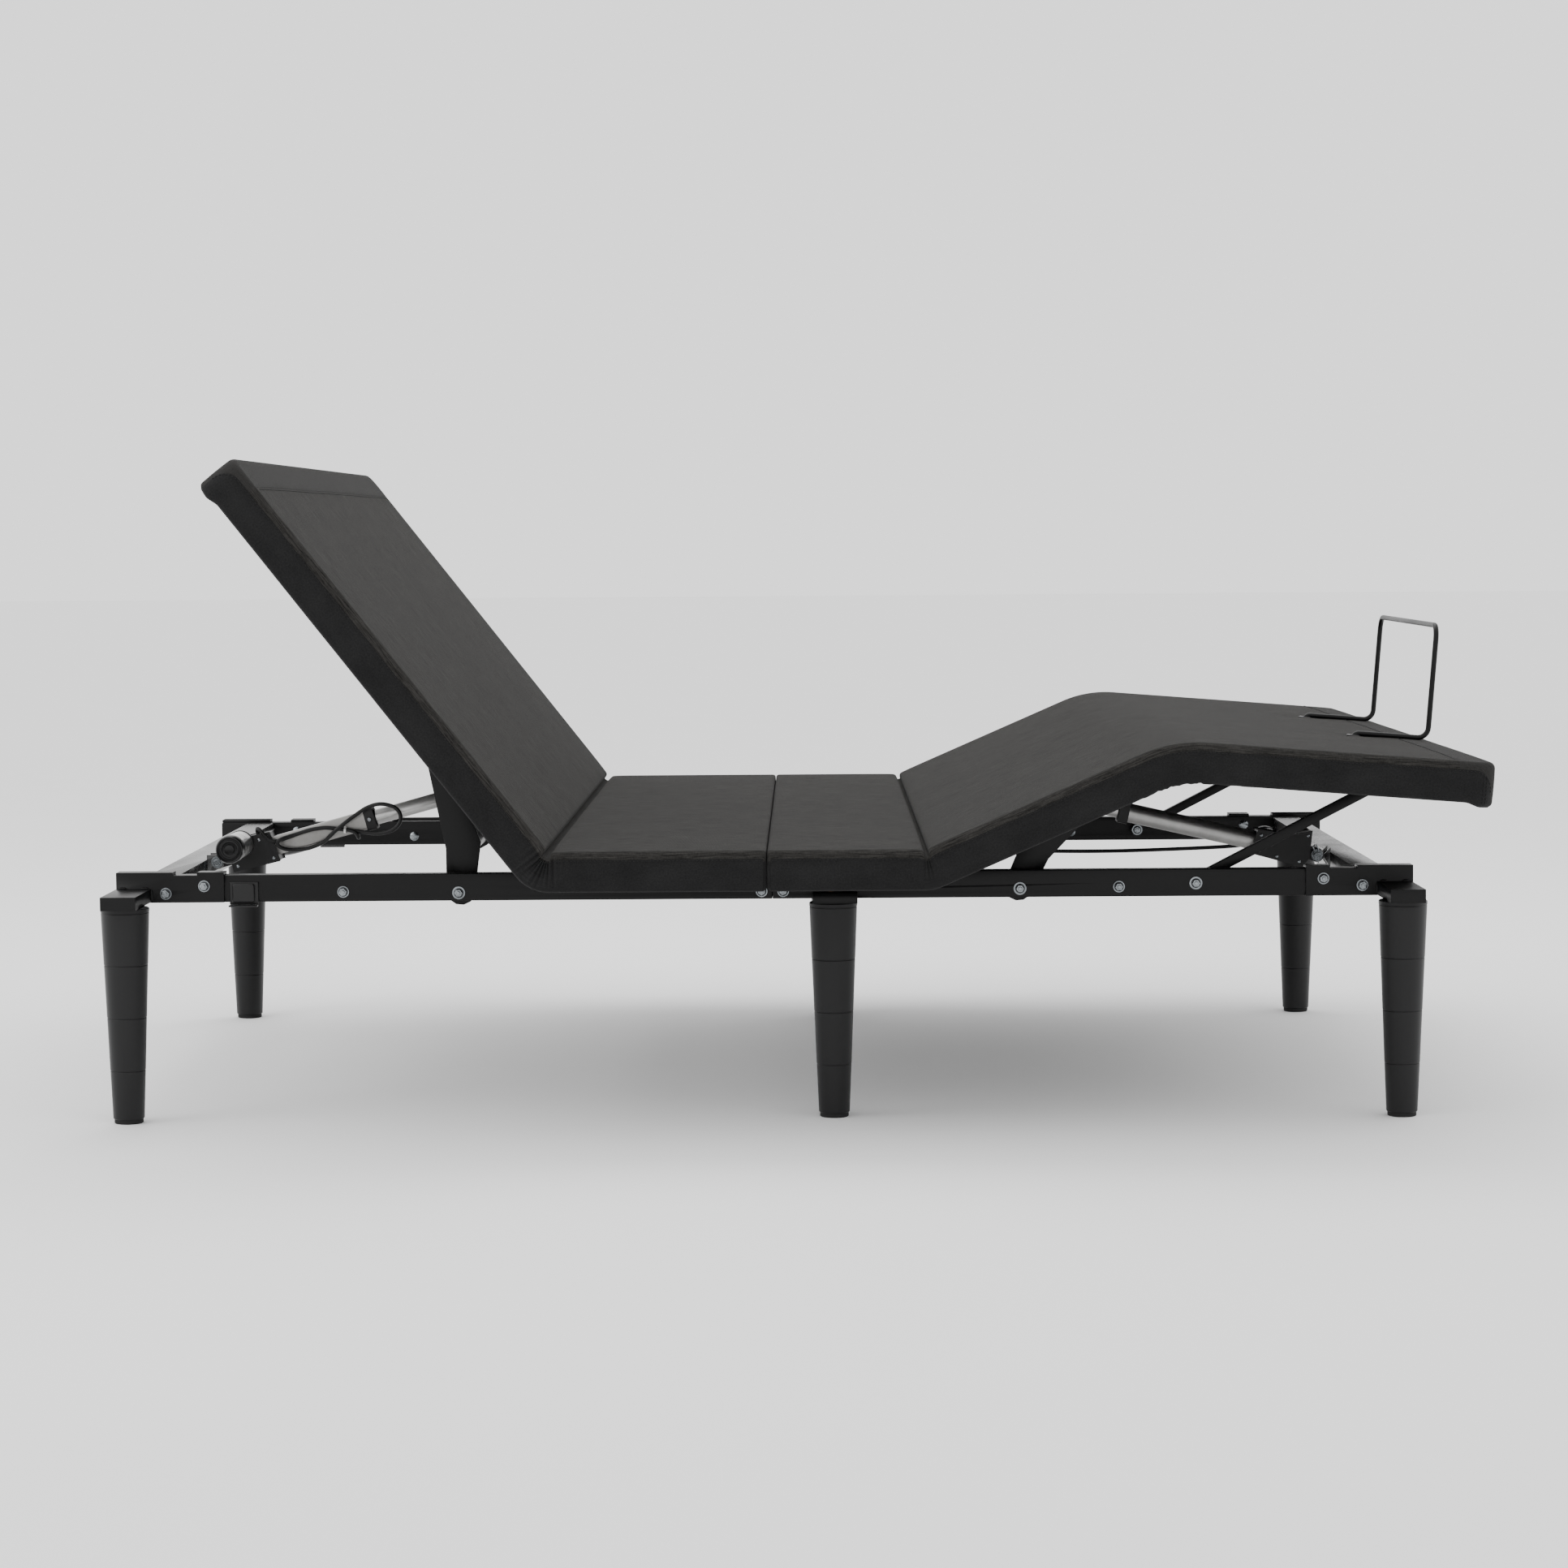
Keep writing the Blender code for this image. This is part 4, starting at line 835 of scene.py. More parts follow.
def stitch_row(bm, spots, pitch=0.0054):
    """Adds short thread stitches to bm, a pitch apart along spots, a list of world points."""
    length, radius = 0.0034, 0.00062
    profile = [(0.0, -length / 2), (radius * 0.9, -length * 0.32), (radius, 0.0),
               (radius * 0.9, length * 0.32), (0.0, length / 2)]
    walked, due = 0.0, pitch / 2
    for a, b in zip(spots, spots[1:]):
        gap = (b - a).length
        while gap > 1e-9 and walked + gap >= due:
            lathe(bm, profile, towards(a.lerp(b, (due - walked) / gap), b - a), 6)
            due += pitch
        walked += gap


def side_seam(cover, bm, side, top_line):
    """Stitches just under a border's top edge."""
    spots = []
    for u, top in top_line:
        d = top + 0.0016
        spots.append(cover.on_wall(u, d, STITCH_OUT, side, cover.slit_at(u, d)))
    stitch_row(bm, spots)


def cross_seam(cover, bm, u):
    """A row of stitches across the top."""
    spots = []
    for k in range(81):
        y = (HALF_WIDTH - 0.020) * (k / 40 - 1)
        spots.append(cover.place(u, y, cover.seam_dip(u) - cover.crown(u, y) - 0.0004))
    stitch_row(bm, spots, pitch=0.006)


def end_seam(cover, bm, side, u):
    """Two upright rows of stitches on a border near a free end."""
    depths = [0.020 + (COVER_DEPTH - 0.024) * k / 14 for k in range(15)]
    for shift in (0.0, 0.0045):
        stitch_row(bm, [cover.on_wall(u + shift, d, STITCH_OUT, side) for d in depths])


def bend(obj):
    """Bakes obj's placement into its mesh; it does not bend obj across the joint between two bodies."""
    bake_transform(obj)


def covers(look):
    """The three covers: head with half the seat, the other half with the thigh, and the calf."""
    head_tangent = CREASE_R * math.tan(HEAD_FOLD / 2)
    track = Track((CREASE_HEAD - HEAD_LENGTH * math.cos(HEAD_FOLD),
                   DECK_TOP + HEAD_LENGTH * math.sin(HEAD_FOLD)), -HEAD_FOLD)
    track.line(HEAD_LENGTH - head_tangent)
    head_fold = (*track.turn(HEAD_FOLD, CREASE_R), HEAD_FOLD, 1.0)
    track.line(SEAT_GAP - HALF_SLIT - CREASE_HEAD - head_tangent)
    upper = Cover(track, 0.0, track.length, ("free", "gap"), (head_fold,))

    thigh_tangent = CREASE_R * math.tan(THIGH_FOLD / 2)
    knee_tangent = KNEE_R * math.tan(KNEE_FOLD / 2)
    lower = Track((SEAT_GAP + HALF_SLIT, DECK_TOP), 0.0)
    lower.line(CREASE_THIGH - SEAT_GAP - HALF_SLIT - thigh_tangent)
    thigh_fold = (*lower.turn(THIGH_FOLD, CREASE_R), THIGH_FOLD, 0.45)
    lower.line(THIGH_LENGTH - thigh_tangent - knee_tangent)
    knee_fold = (*lower.turn(-KNEE_FOLD, KNEE_R), -KNEE_FOLD, 1.0)
    lower.line(CALF_LENGTH - knee_tangent)
    split = thigh_fold[1] + 0.150
    folds = (thigh_fold, knee_fold)
    seat_thigh = Cover(lower, 0.0, split, ("gap", "open"), folds)
    hooks = [(lower.length - 0.123, y) for y in (-0.260, 0.260)]
    thigh_calf = Cover(lower, split, lower.length, ("open", "free"), folds, hooks)

    knee = lower.at(knee_fold[0])[0].lerp(lower.at(knee_fold[1])[0], 0.5)
    jobs = (
        ("head_cover", upper, ("frame", "head_panel"), (CREASE_HEAD, DECK_TOP), (-0.899, 0.4376),
         0.0265, ("head_pad", "seat_head_pad")),
        ("thigh_cover", seat_thigh, ("frame", "thigh_panel"), (CREASE_THIGH, DECK_TOP),
         (0.979, 0.2036), 0.025, ("seat_foot_pad", "thigh_pad")),
        ("calf_cover", thigh_calf, ("thigh_panel", "calf_panel"), tuple(knee), (0.9863, 0.165),
         0.055, ("calf_pad", "thigh_pad")),
    )
    for name, cover, bodies, at, across_joint, reach, stands_for in jobs:
        obj = cover.build(name, (look["top"], look["band"], look["twill"]))
        bend(obj)
        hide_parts(*stands_for)
        thread = bmesh.new()
        for side, where in SIDES:
            strip, top_line = border(cover, f"{name}_border_{where}", side, look["twill"])
            bend(strip)
            side_seam(cover, thread, side, top_line)
            if name == "calf_cover":
                end_seam(cover, thread, side, cover.end - 0.0185)
        if name == "head_cover":
            cross_seam(cover, thread, cover.start + BAND + 0.0035)
        if name == "calf_cover":
            cross_seam(cover, thread, cover.end - BAND - 0.0035)
        thread = as_object(f"{name}_stitches", thread, (look["thread"],))
        bend(thread)


# ------------------------------------------------------------------ hardware
def add(name, bm, looks_used, body, stands_for=(), angle=38):
    """Finishes a hardware piece: rides it on its body and hides the CAD parts it stands for."""
    obj = as_object(name, bm, looks_used, angle)
    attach(obj, body)
    if stands_for:
        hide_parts(*stands_for)
    return obj


def bolt(bm, x, y_face, side, z, washer=0.0086, head=0.0052, spin=0.0, tall=0.0048):
    """A flanged hex nut on its washer, with the end of its bolt, facing side along Y."""
    place = towards((x, y_face, z), (0.0, side, 0.0), spin)
    rim, flange, stud = 0.0014, head + 0.0018, 0.0030
    lathe(bm, [(0.0, 0.0), (washer - 0.0002, 0.0), (washer, 0.0003), (washer, rim - 0.0003),
               (washer - 0.0003, rim), (head + 0.0016, rim), (0.0, rim)], place, 32)
    # The flange ring takes slot 1, the darker zinc: painted shade between the washer and the hex
    lathe(bm, [(0.0, rim - 0.0001), (flange, rim - 0.0001), (flange, rim + 0.0006),
               (head + 0.0004, rim + 0.0013), (0.0, rim + 0.0013)], place, 32, 1)
    low, high, corner = rim + 0.0010, rim + tall, head * 1.155
    lathe(bm, [(0.0, low), (corner, low), (corner, high - 0.0006), (head, high), (0.0, high)], place, 6)
    lathe(bm, [(0.0, high - 0.001), (stud, high - 0.001), (stud, high + 0.0010),
               (stud - 0.0006, high + 0.0016), (0.0, high + 0.0016)], place, 20)


LEGS = {"head": (-0.9494, 0.5544), "mid": (0.0634, 0.5317), "foot": (0.8759, 0.5544)}
LEG_SEAMS = (0.0765, 0.1526, 0.2284)
LEG_BOTTOM, LEG_TOP = 0.0065, 0.3101
LEG_BOTTOM_R, LEG_TOP_R = 0.0222, 0.0345


def leg(where, x, y, look):
    """Four stacked sections with fine joints, a rubber foot and a stud into the bracket."""
    def radius(z):
        return LEG_BOTTOM_R + (LEG_TOP_R - LEG_BOTTOM_R) * (z - LEG_BOTTOM) / (LEG_TOP - LEG_BOTTOM)

    bm = bmesh.new()
    here = Matrix.Translation((x, y, 0.0))
    lathe(bm, [(0.0, 0.0), (0.0196, 0.0), (0.0206, 0.0010), (0.0206, 0.0068), (0.0, 0.0068)], here, 64, 1)
    profile = [(0.0, 0.0064), (LEG_BOTTOM_R - 0.0010, 0.0064), (radius(0.0075), 0.0076)]
    for seam in LEG_SEAMS:
        r = radius(seam)
        profile += [(radius(seam - 0.012), seam - 0.012), (r, seam - 0.0011),
                    (r - 0.0003, seam - 0.0005), (r - 0.0009, seam - 0.0003),
                    (r - 0.0009, seam + 0.0003), (r - 0.0002, seam + 0.0005),
                    (r + 0.0002, seam + 0.0011), (radius(seam + 0.012) + 0.0001, seam + 0.012)]
    top = LEG_TOP
    profile += [(radius(top - 0.0090), top - 0.0090), (radius(top - 0.0074), top - 0.0074),
                (LEG_TOP_R - 0.0007, top - 0.0068), (LEG_TOP_R - 0.0007, top - 0.0062),
                (LEG_TOP_R, top - 0.0056), (LEG_TOP_R, top - 0.0012), (LEG_TOP_R - 0.0012, top), (0.0, top)]
    lathe(bm, profile, here, 72)
    lathe(bm, [(0.0, top - 0.001), (0.0054, top - 0.001), (0.0054, top + 0.0085),
               (0.0046, top + 0.0090), (0.0, top + 0.0090)], here, 24, 2)
    add(f"leg_{where}_turned", bm, (look["leg"], look["foot"], look["zinc"]), "frame",
        (f"leg_{where}",), 25)


def legs(look):
    for end, (x, y) in LEGS.items():
        for side, where in SIDES:
            leg(f"{end}_{where}", x, side * y, look)


CORNER_BOLTS = ((-0.9030, 0.3227), (-0.8474, 0.3333), (0.7726, 0.3345), (0.8289, 0.3245))
RAIL_BOLTS = ((-0.0397, 0.3205), (-0.0086, 0.3205), (-0.6464, 0.3234), (0.4775, 0.3240))
PIVOTS = {"head_lift": (-0.4788, 0.3209), "foot_lift": (0.3343, 0.3222), "foot_link": (0.5888, 0.3285)}
RAIL_OUTER, RAIL_INNER = 0.480, 0.455
OUTRIGGER_FACE = 0.4850
OUTRIGGERS = ((-0.9744, -0.9244), (0.8509, 0.9009))
OUTRIGGER_TOP = 0.3303
RAIL_ENDS = (-0.97465, 0.90185)


def rail_bolts(look, side, where):
    """Corner, splice and spare bolts, with their round heads inside the rail."""
    bm = bmesh.new()
    for k, (x, z) in enumerate(CORNER_BOLTS):
        bolt(bm, x, side * 0.4843, side, z, spin=0.3 + 0.7 * k)
    for k, (x, z) in enumerate(RAIL_BOLTS):
        bolt(bm, x, side * RAIL_OUTER, side, z, spin=0.5 + 0.9 * k)
    dome = [(0.0, -0.001), (0.0078, -0.001), (0.0078, 0.0002), (0.0066, 0.0014), (0.0038, 0.0023),
            (0.0, 0.0026)]
    for x, z in (*CORNER_BOLTS, *RAIL_BOLTS):
        lathe(bm, dome, towards((x, side * RAIL_INNER, z), (0.0, -side, 0.0)), 28)
    add(f"rail_bolts_{where}", bm, (look["zinc"], look["shade"]), "frame")


def pivot_bolts(look, side, where):
    """The bolts that the lift arms and links turn on, right through the rail."""
    for name, (x, z) in PIVOTS.items():
        bm = bmesh.new()
        bolt(bm, x, side * RAIL_OUTER, side, z, washer=0.0095, spin=1.1)
        lathe(bm, [(0.0, 0.0), (0.0037, 0.0), (0.0037, 0.05), (0.0, 0.05)],
              towards((x, side * 0.4325, z), (0.0, side, 0.0)), 20)
        arm_face = 0.4347 if name == "foot_link" else 0.4345
        bolt(bm, x, side * arm_face, -side, z, washer=0.0090, head=0.0050, tall=0.0034, spin=0.4)
        add(f"{name}_pivot_{where}", bm, (look["zinc"], look["shade"]), "frame",
            (f"{name}_bolt_{where}",))


def rail_ends(look, side, where):
    """End caps, and a pressed lug on the rail: a raised pocket with a turned-out foot."""
    bm = bmesh.new()
    for x in RAIL_ENDS:
        block(bm, (x - 0.00145, x + 0.00145), (side * 0.4558, side * 0.4792), (0.3103, 0.3479), 0.0006, 2)
    block(bm, (-0.8110, -0.7690), (side * 0.4798, side * 0.4830), (0.3060, 0.3390), 0.0014)
    block(bm, (-0.8065, -0.7740), (side * 0.4820, side * 0.4885), (0.3090, 0.3365), 0.0030, 4)
    block(bm, (-0.8115, -0.7700), (side * 0.4800, side * 0.4920), (0.3032, 0.3056), 0.0009)
    add(f"rail_ends_{where}", bm, (look["housing"],), "frame")


def leg_stud(look, side, where):
    """The copper-coloured stud that stands on a middle leg's bracket."""
    bm = bmesh.new()
    lathe(bm, [(0.0, 0.0), (0.0030, 0.0), (0.0034, 0.0006), (0.0034, 0.0026), (0.0030, 0.0032),
               (0.0018, 0.0032), (0.0018, 0.0075), (0.0, 0.0082)],
          towards((0.0600, side * 0.5000, 0.3256), (0.0, 0.0, 1.0)), 24)
    add(f"leg_stud_{where}", bm, (look["copper"],), "frame")


def rail_fittings(look):
    for side, where in SIDES:
        for fitting in (rail_bolts, pivot_bolts, rail_ends, leg_stud):
            fitting(look, side, where)


def weld_bead(bm, a, b, radius=0.0022):
    """A weld bead from a to b, laid as short overlapping drops."""
    a, b = Vector(a), Vector(b)
    count = max(2, int((b - a).length / 0.0022))
    ahead = (b - a).normalized()
    side = ahead.orthogonal().normalized()
    other = ahead.cross(side)
    rings = []
    for k in range(count + 1):
        fat = radius * (0.55 if k in (0, count) else 0.92 + 0.16 * (k % 2) + 0.05 * fold(k * 1.7))
        rings.append([bm.verts.new(a.lerp(b, k / count) + side * x + other * y)
                      for x, y in circle(fat, 10)])
    skin(bm, rings)


def welds(look):
    """Beads where the outriggers and the middle legs' brackets meet the rail."""
    for side, where in SIDES:
        bm = bmesh.new()
        y, top = side * OUTRIGGER_FACE, OUTRIGGER_TOP
        for x0, x1 in OUTRIGGERS:
            weld_bead(bm, (x0 + 0.004, y, top), (x0 + 0.014, y, top))
            weld_bead(bm, (x1 - 0.014, y, top), (x1 - 0.004, y, top))
            for x in (x0 - 0.0004, x1 + 0.0004):
                weld_bead(bm, (x, y, top - 0.0178), (x, y, top - 0.0018))
        weld_bead(bm, (0.040, y, 0.3262), (0.090, y, 0.3262), 0.0018)
        add(f"weld_beads_{where}", bm, (look["coat"],), "frame")


# ------------------------------------------------------------------ actuators and linkage
def axis_frame(start, end, y):
    """The matrix whose X axis runs from start to end in the XZ plane, and Z stands above it."""
    ahead = Vector((end[0] - start[0], 0.0, end[1] - start[1])).normalized()
    up = Vector((-ahead.z, 0.0, ahead.x)) if ahead.x > 0 else Vector((ahead.z, 0.0, -ahead.x))
    turn = Matrix((ahead, up.cross(ahead), up)).transposed().to_4x4()
    return Matrix.Translation((start[0], y, start[1])) @ turn


def along(a):
    """A lathe placement on an actuator's own axis, at a along it and pointing along it."""
    return Matrix.Translation((a, 0.0, 0.0)) @ Matrix.Rotation(math.pi / 2, 4, "Y")


def moved(bm, place):
    """Moves all of bm from an actuator's own axes to their place in the world."""
    bmesh.ops.transform(bm, matrix=place, verts=bm.verts)
    return bm


def motor(end, place, centre, side, look):
    """A silver can with a deep black cap, whose end has rings and a boss."""
    bm = bmesh.new()
    at = place @ Matrix.Translation((centre[0], 0.0, centre[1]))
    out = (at.to_3x3() @ Vector((0.0, 1.0, 0.0))).y
    turn = at @ Matrix.Rotation(math.radians(-90 if side * out > 0 else 90), 4, "X")
    lathe(bm, [(0.0, 0.0264), (0.0190, 0.0264), (0.0195, 0.0270), (0.0195, 0.0700), (0.0191, 0.0703),
               (0.0191, 0.0712), (0.0195, 0.0715), (0.0195, 0.1170), (0.0, 0.1170)], turn, 64)
    lathe(bm, [(0.0, 0.1120), (0.0200, 0.1120), (0.0208, 0.1128), (0.0208, 0.1310), (0.0196, 0.1335),
               (0.0180, 0.1340), (0.0172, 0.1334), (0.0165, 0.1326), (0.0150, 0.1326),
               (0.0144, 0.1336), (0.0128, 0.1340), (0.0112, 0.1336), (0.0106, 0.1322),
               (0.0078, 0.1318), (0.0072, 0.1334), (0.0055, 0.1340), (0.0, 0.1340)], turn, 64, 1)
    lathe(bm, [(0.0, 0.0262), (0.0205, 0.0262), (0.0205, 0.0300), (0.0198, 0.0306), (0.0, 0.0306)],
          turn, 64, 1)
    add(f"{end}_drive_motor", bm, (look["can"], look["cap"]), f"{end}_actuator", (f"{end}_motor",))


def gear_housing(end, place, case, rivets, tube_start, look):
    """A moulded case with a raised panel each side, on a tongue with an eye, and its rivets."""
    bm = bmesh.new()
    plate(bm, case, -0.0260, 0.0260, 0.0016)
    middle = sum((Vector(p) for p in case), Vector((0, 0))) / len(case)
    panel = [(middle.x + (a - middle.x) * 0.80, middle.y + (b - middle.y) * 0.74) for a, b in case]
    for y0, y1 in ((-0.0268, -0.0250), (0.0250, 0.0268)):
        plate(bm, panel, y0, y1, 0.0007)
    block(bm, (0.002, 0.034), (-0.0133, 0.0133), (-0.0104, 0.0104), 0.0016)
    across_y = Matrix.Rotation(math.radians(90), 4, "X")
    lathe(bm, [(0.0053, -0.0135), (0.0104, -0.0135), (0.0110, -0.0129), (0.0110, 0.0129),
               (0.0104, 0.0135), (0.0053, 0.0135)], across_y, 40)
    for a, b in rivets:
        for side in (-1, 1):
            turn = Matrix.Rotation(math.radians(-90 * side), 4, "X")
            lathe(bm, [(0.0, -0.002), (0.0024, -0.002), (0.0024, 0.0004), (0.0016, 0.0011), (0.0, 0.0014)],
                  Matrix.Translation((a, side * 0.0262, b)) @ turn, 16, 1)
    lathe(bm, [(0.0, 0.0), (0.0186, 0.0), (0.0186, 0.0070), (0.0176, 0.0078), (0.0, 0.0078)],
          along(tube_start - 0.0075), 48)
    add(f"{end}_gear_housing", moved(bm, place), (look["housing"], look["zinc"]), f"{end}_actuator",
        (f"{end}_gearbox",))


def outer_tube(end, place, start, stop, square, look):
    """The outer tube with its end clamp, the clamp's screw and the ring that the rod runs in."""
    bm = bmesh.new()
    section = rounded_square(0.0142, 0.0026) if square else circle(0.0146, 48)
    sweep(bm, [(start - 0.020, 0.0, 0.0), (stop - 0.0006, 0.0, 0.0)], section)
    sweep(bm, [(stop - 0.0140, 0.0, 0.0), (stop + 0.0008, 0.0, 0.0)], rounded_square(0.0170, 0.0030), 1)
    screw = Matrix.Translation((stop - 0.0070, -0.0170, 0.0)) @ Matrix.Rotation(math.radians(90), 4, "X")
    lathe(bm, [(0.0, -0.001), (0.0030, -0.001), (0.0030, 0.0012), (0.0024, 0.0018), (0.0012, 0.0018),
               (0.0010, 0.0010), (0.0, 0.0010)], screw, 20, 2)
    lathe(bm, [(0.0120, 0.0), (0.0150, 0.0), (0.0150, 0.0012), (0.0142, 0.0020), (0.0120, 0.0020)],
          along(stop + 0.0006), 40, 1)
    tube = look["tube_grey" if square else "tube"]
    add(f"{end}_outer_tube_drawn", moved(bm, place), (tube, look["housing"], look["zinc"]),
        f"{end}_actuator", (f"{end}_outer_tube",))


def rod(end, place, stop, length, look):
    """The sliding rod, with the barrel that its pin goes through."""
    bm = bmesh.new()
    lathe(bm, [(0.0, stop - 0.045), (0.0115, stop - 0.045), (0.0115, length - 0.0140),
               (0.0108, length - 0.0125), (0.0098, length - 0.0120), (0.0098, length - 0.004),
               (0.0, length - 0.004)], along(0.0), 48)
    across_y = Matrix.Translation((length, 0.0, 0.0)) @ Matrix.Rotation(math.radians(90), 4, "X")
    lathe(bm, [(0.0, -0.0107), (0.0100, -0.0107), (0.0105, -0.0102), (0.0105, 0.0102),
               (0.0100, 0.0107), (0.0, 0.0107)], across_y, 40)
    add(f"{end}_rod_turned", moved(bm, place), (look["rod"],), f"{end}_rod", (f"{end}_rod",))


def pin(end, x, z, cotter, look):
    """The clevis pin with its washer, and a hairpin cotter through it at the foot end."""
    bm = bmesh.new()
    near = -0.2262
    across_y = towards((x, near, z), (0.0, 1.0, 0.0))
    lathe(bm, [(0.0, 0.0), (0.0042, 0.0), (0.0049, 0.0007), (0.0049, 0.0474), (0.0, 0.0478)], across_y, 32)
    lathe(bm, [(0.0050, 0.0046), (0.0088, 0.0046), (0.0090, 0.0048), (0.0090, 0.0060),
               (0.0088, 0.0062), (0.0050, 0.0062)], across_y, 32)
    if cotter:
        y = near + 0.0028
        loop = [(x + 0.0016, y, z - 0.012), (x + 0.0013, y, z), (x + 0.0014, y, z + 0.010),
                (x - 0.0004, y, z + 0.0145), (x - 0.0040, y, z + 0.0155), (x - 0.0064, y, z + 0.0128),
                (x - 0.0050, y, z + 0.0090), (x - 0.0052, y, z + 0.0045), (x - 0.0068, y, z),
                (x - 0.0052, y, z - 0.0050), (x - 0.0062, y, z - 0.0090)]
        sweep(bm, curve_through(loop, 0.0006), circle(0.0009, 8))
    add(f"{end}_clevis_pin", bm, (look["zinc"],), "frame", (f"{end}_actuator_pin",))


ACTUATOR_Y = -0.200
AXES = {"head": ((-0.872, 0.3435), (-0.508, 0.4430)), "foot": ((0.801, 0.3440), (0.424, 0.430))}
CASES = {"head": ((0.022, -0.020), (0.024, 0.020), (0.040, 0.0245), (0.090, 0.0225), (0.094, -0.0225)),
         "foot": ((0.0124, -0.0066), (0.0166, 0.0341), (0.0455, 0.0205), (0.096, 0.0175),
                  (0.100, -0.0175), (0.0191, -0.0208))}
RIVETS = {"head": ((0.030, -0.014), (0.086, 0.0165), (0.086, -0.0165), (0.072, 0.016)),
          "foot": ((0.0205, 0.0260), (0.0250, -0.0150), (0.060, -0.0145), (0.090, 0.0115))}
TUBE_SPANS = {"head": (0.090, 0.248), "foot": (0.096, 0.306)}
MOTORS = {"head": ((0.0435, 0.0178), -1), "foot": ((0.062, -0.002), 1)}


def actuators(look):
    """Both actuators. Their cases, rivets, tubes and motors are placed along and above their axes."""
    for end, (base, tip) in AXES.items():
        place = axis_frame(base, tip, ACTUATOR_Y)
        start, stop = TUBE_SPANS[end]
        gear_housing(end, place, CASES[end], RIVETS[end], start, look)
        motor(end, place, *MOTORS[end], look)
        outer_tube(end, place, start, stop, end == "head", look)
        rod(end, place, stop, math.dist(base, tip), look)
        pin(end, *base, end == "foot", look)


CALF_TOP = Vector((0.52784, 0.0, 0.55242))    # a point of the calf cover's top, CALF_AT along it
CALF_AT = 0.5585
CALF_SLOPE = math.radians(4.5)


def on_calf(along_panel, y, up):
    """A point given along the calf panel, across the bed, and above the panel's top."""
    cos, sin = math.cos(CALF_SLOPE), math.sin(CALF_SLOPE)
    at = CALF_TOP + Vector((cos, 0.0, -sin)) * (along_panel - CALF_AT) + Vector((sin, 0.0, cos)) * up
    return Vector((at.x, y, at.z))


def rounded(a, b, c, radius, steps=8):
    """The points that round the corner at b, between a and c."""
    u, v = (a - b).normalized(), (c - b).normalized()
    half_angle = u.angle(v) / 2
    reach = radius / math.tan(half_angle)
    centre = b + (u + v).normalized() * radius / math.sin(half_angle)
    first, last = b + u * reach - centre, b + v * reach - centre
    axis, total = first.cross(last).normalized(), first.angle(last)
    return [centre + Matrix.Rotation(total * i / steps, 3, axis) @ first for i in range(steps + 1)]


def retainer(look):
    """The mattress retainer: one bent rod whose hooked feet go into the deck."""
    hook, bar, high, low, sunk, half = 0.8810, 0.9925, 0.1745, 0.0045, -0.0460, 0.260
    near_side = [(hook, -half, sunk), (hook, -half, low), (bar, -half, low), (bar, -half, high)]
    far_side = [(at, -y, up) for at, y, up in reversed(near_side)]
    corners = [on_calf(*corner) for corner in near_side + far_side]
    path = [corners[0]]
    radii = (0.008, 0.016, 0.022, 0.022, 0.016, 0.008)
    for before, corner, after, radius in zip(corners, corners[1:], corners[2:], radii):
        path += rounded(before, corner, after, radius)
    path.append(corners[-1])
    bm = bmesh.new()
    sweep(bm, path, circle(0.004, 24))
    add("retainer_rod", bm, (look["coat"],), "calf_panel", ("retainer_bar",), 50)
    bm = bmesh.new()
    for y in (-half, half):
        place = towards(on_calf(hook, y, 0.0), on_calf(hook, y, 1.0) - on_calf(hook, y, 0.0))
        lathe(bm, [(0.0052, -0.004), (0.0105, -0.004), (0.0105, 0.0012), (0.0095, 0.0022),
                   (0.0062, 0.0022), (0.0052, 0.0012)], place, 32)
    add("retainer_grommets", bm, (look["cap"],), "calf_panel")


# The leads' routes along the frame, from their motors to the control box.
HEAD_CABLE = ((-0.822, -0.1695, 0.3500), (-0.816, -0.145, 0.3480), (-0.802, -0.090, 0.3430),
              (-0.788, 0.020, 0.3370), (-0.780, 0.150, 0.3345), (-0.774, 0.290, 0.3365),
              (-0.766, 0.390, 0.3430), (-0.753, 0.440, 0.3520), (-0.735, 0.462, 0.3530),
              (-0.700, 0.467, 0.3522), (-0.600, 0.467, 0.3522), (-0.500, 0.467, 0.3522),
              (-0.420, 0.467, 0.3522), (-0.360, 0.465, 0.3522), (-0.320, 0.450, 0.3520),
              (-0.285, 0.425, 0.3500), (-0.220, 0.395, 0.3460), (-0.130, 0.345, 0.3450),
              (-0.060, 0.280, 0.3450), (-0.035, 0.258, 0.3450), (-0.0035, 0.250, 0.3440))
FOOT_CABLE = ((0.7405, -0.0620, 0.3510), (0.738, -0.045, 0.3495), (0.725, -0.020, 0.3440),
              (0.690, 0.010, 0.3370), (0.610, 0.060, 0.3290), (0.520, 0.110, 0.3220),
              (0.440, 0.150, 0.3185), (0.380, 0.175, 0.3180), (0.300, 0.195, 0.3200),
              (0.220, 0.205, 0.3260), (0.160, 0.206, 0.3340), (0.1235, 0.205, 0.3400))
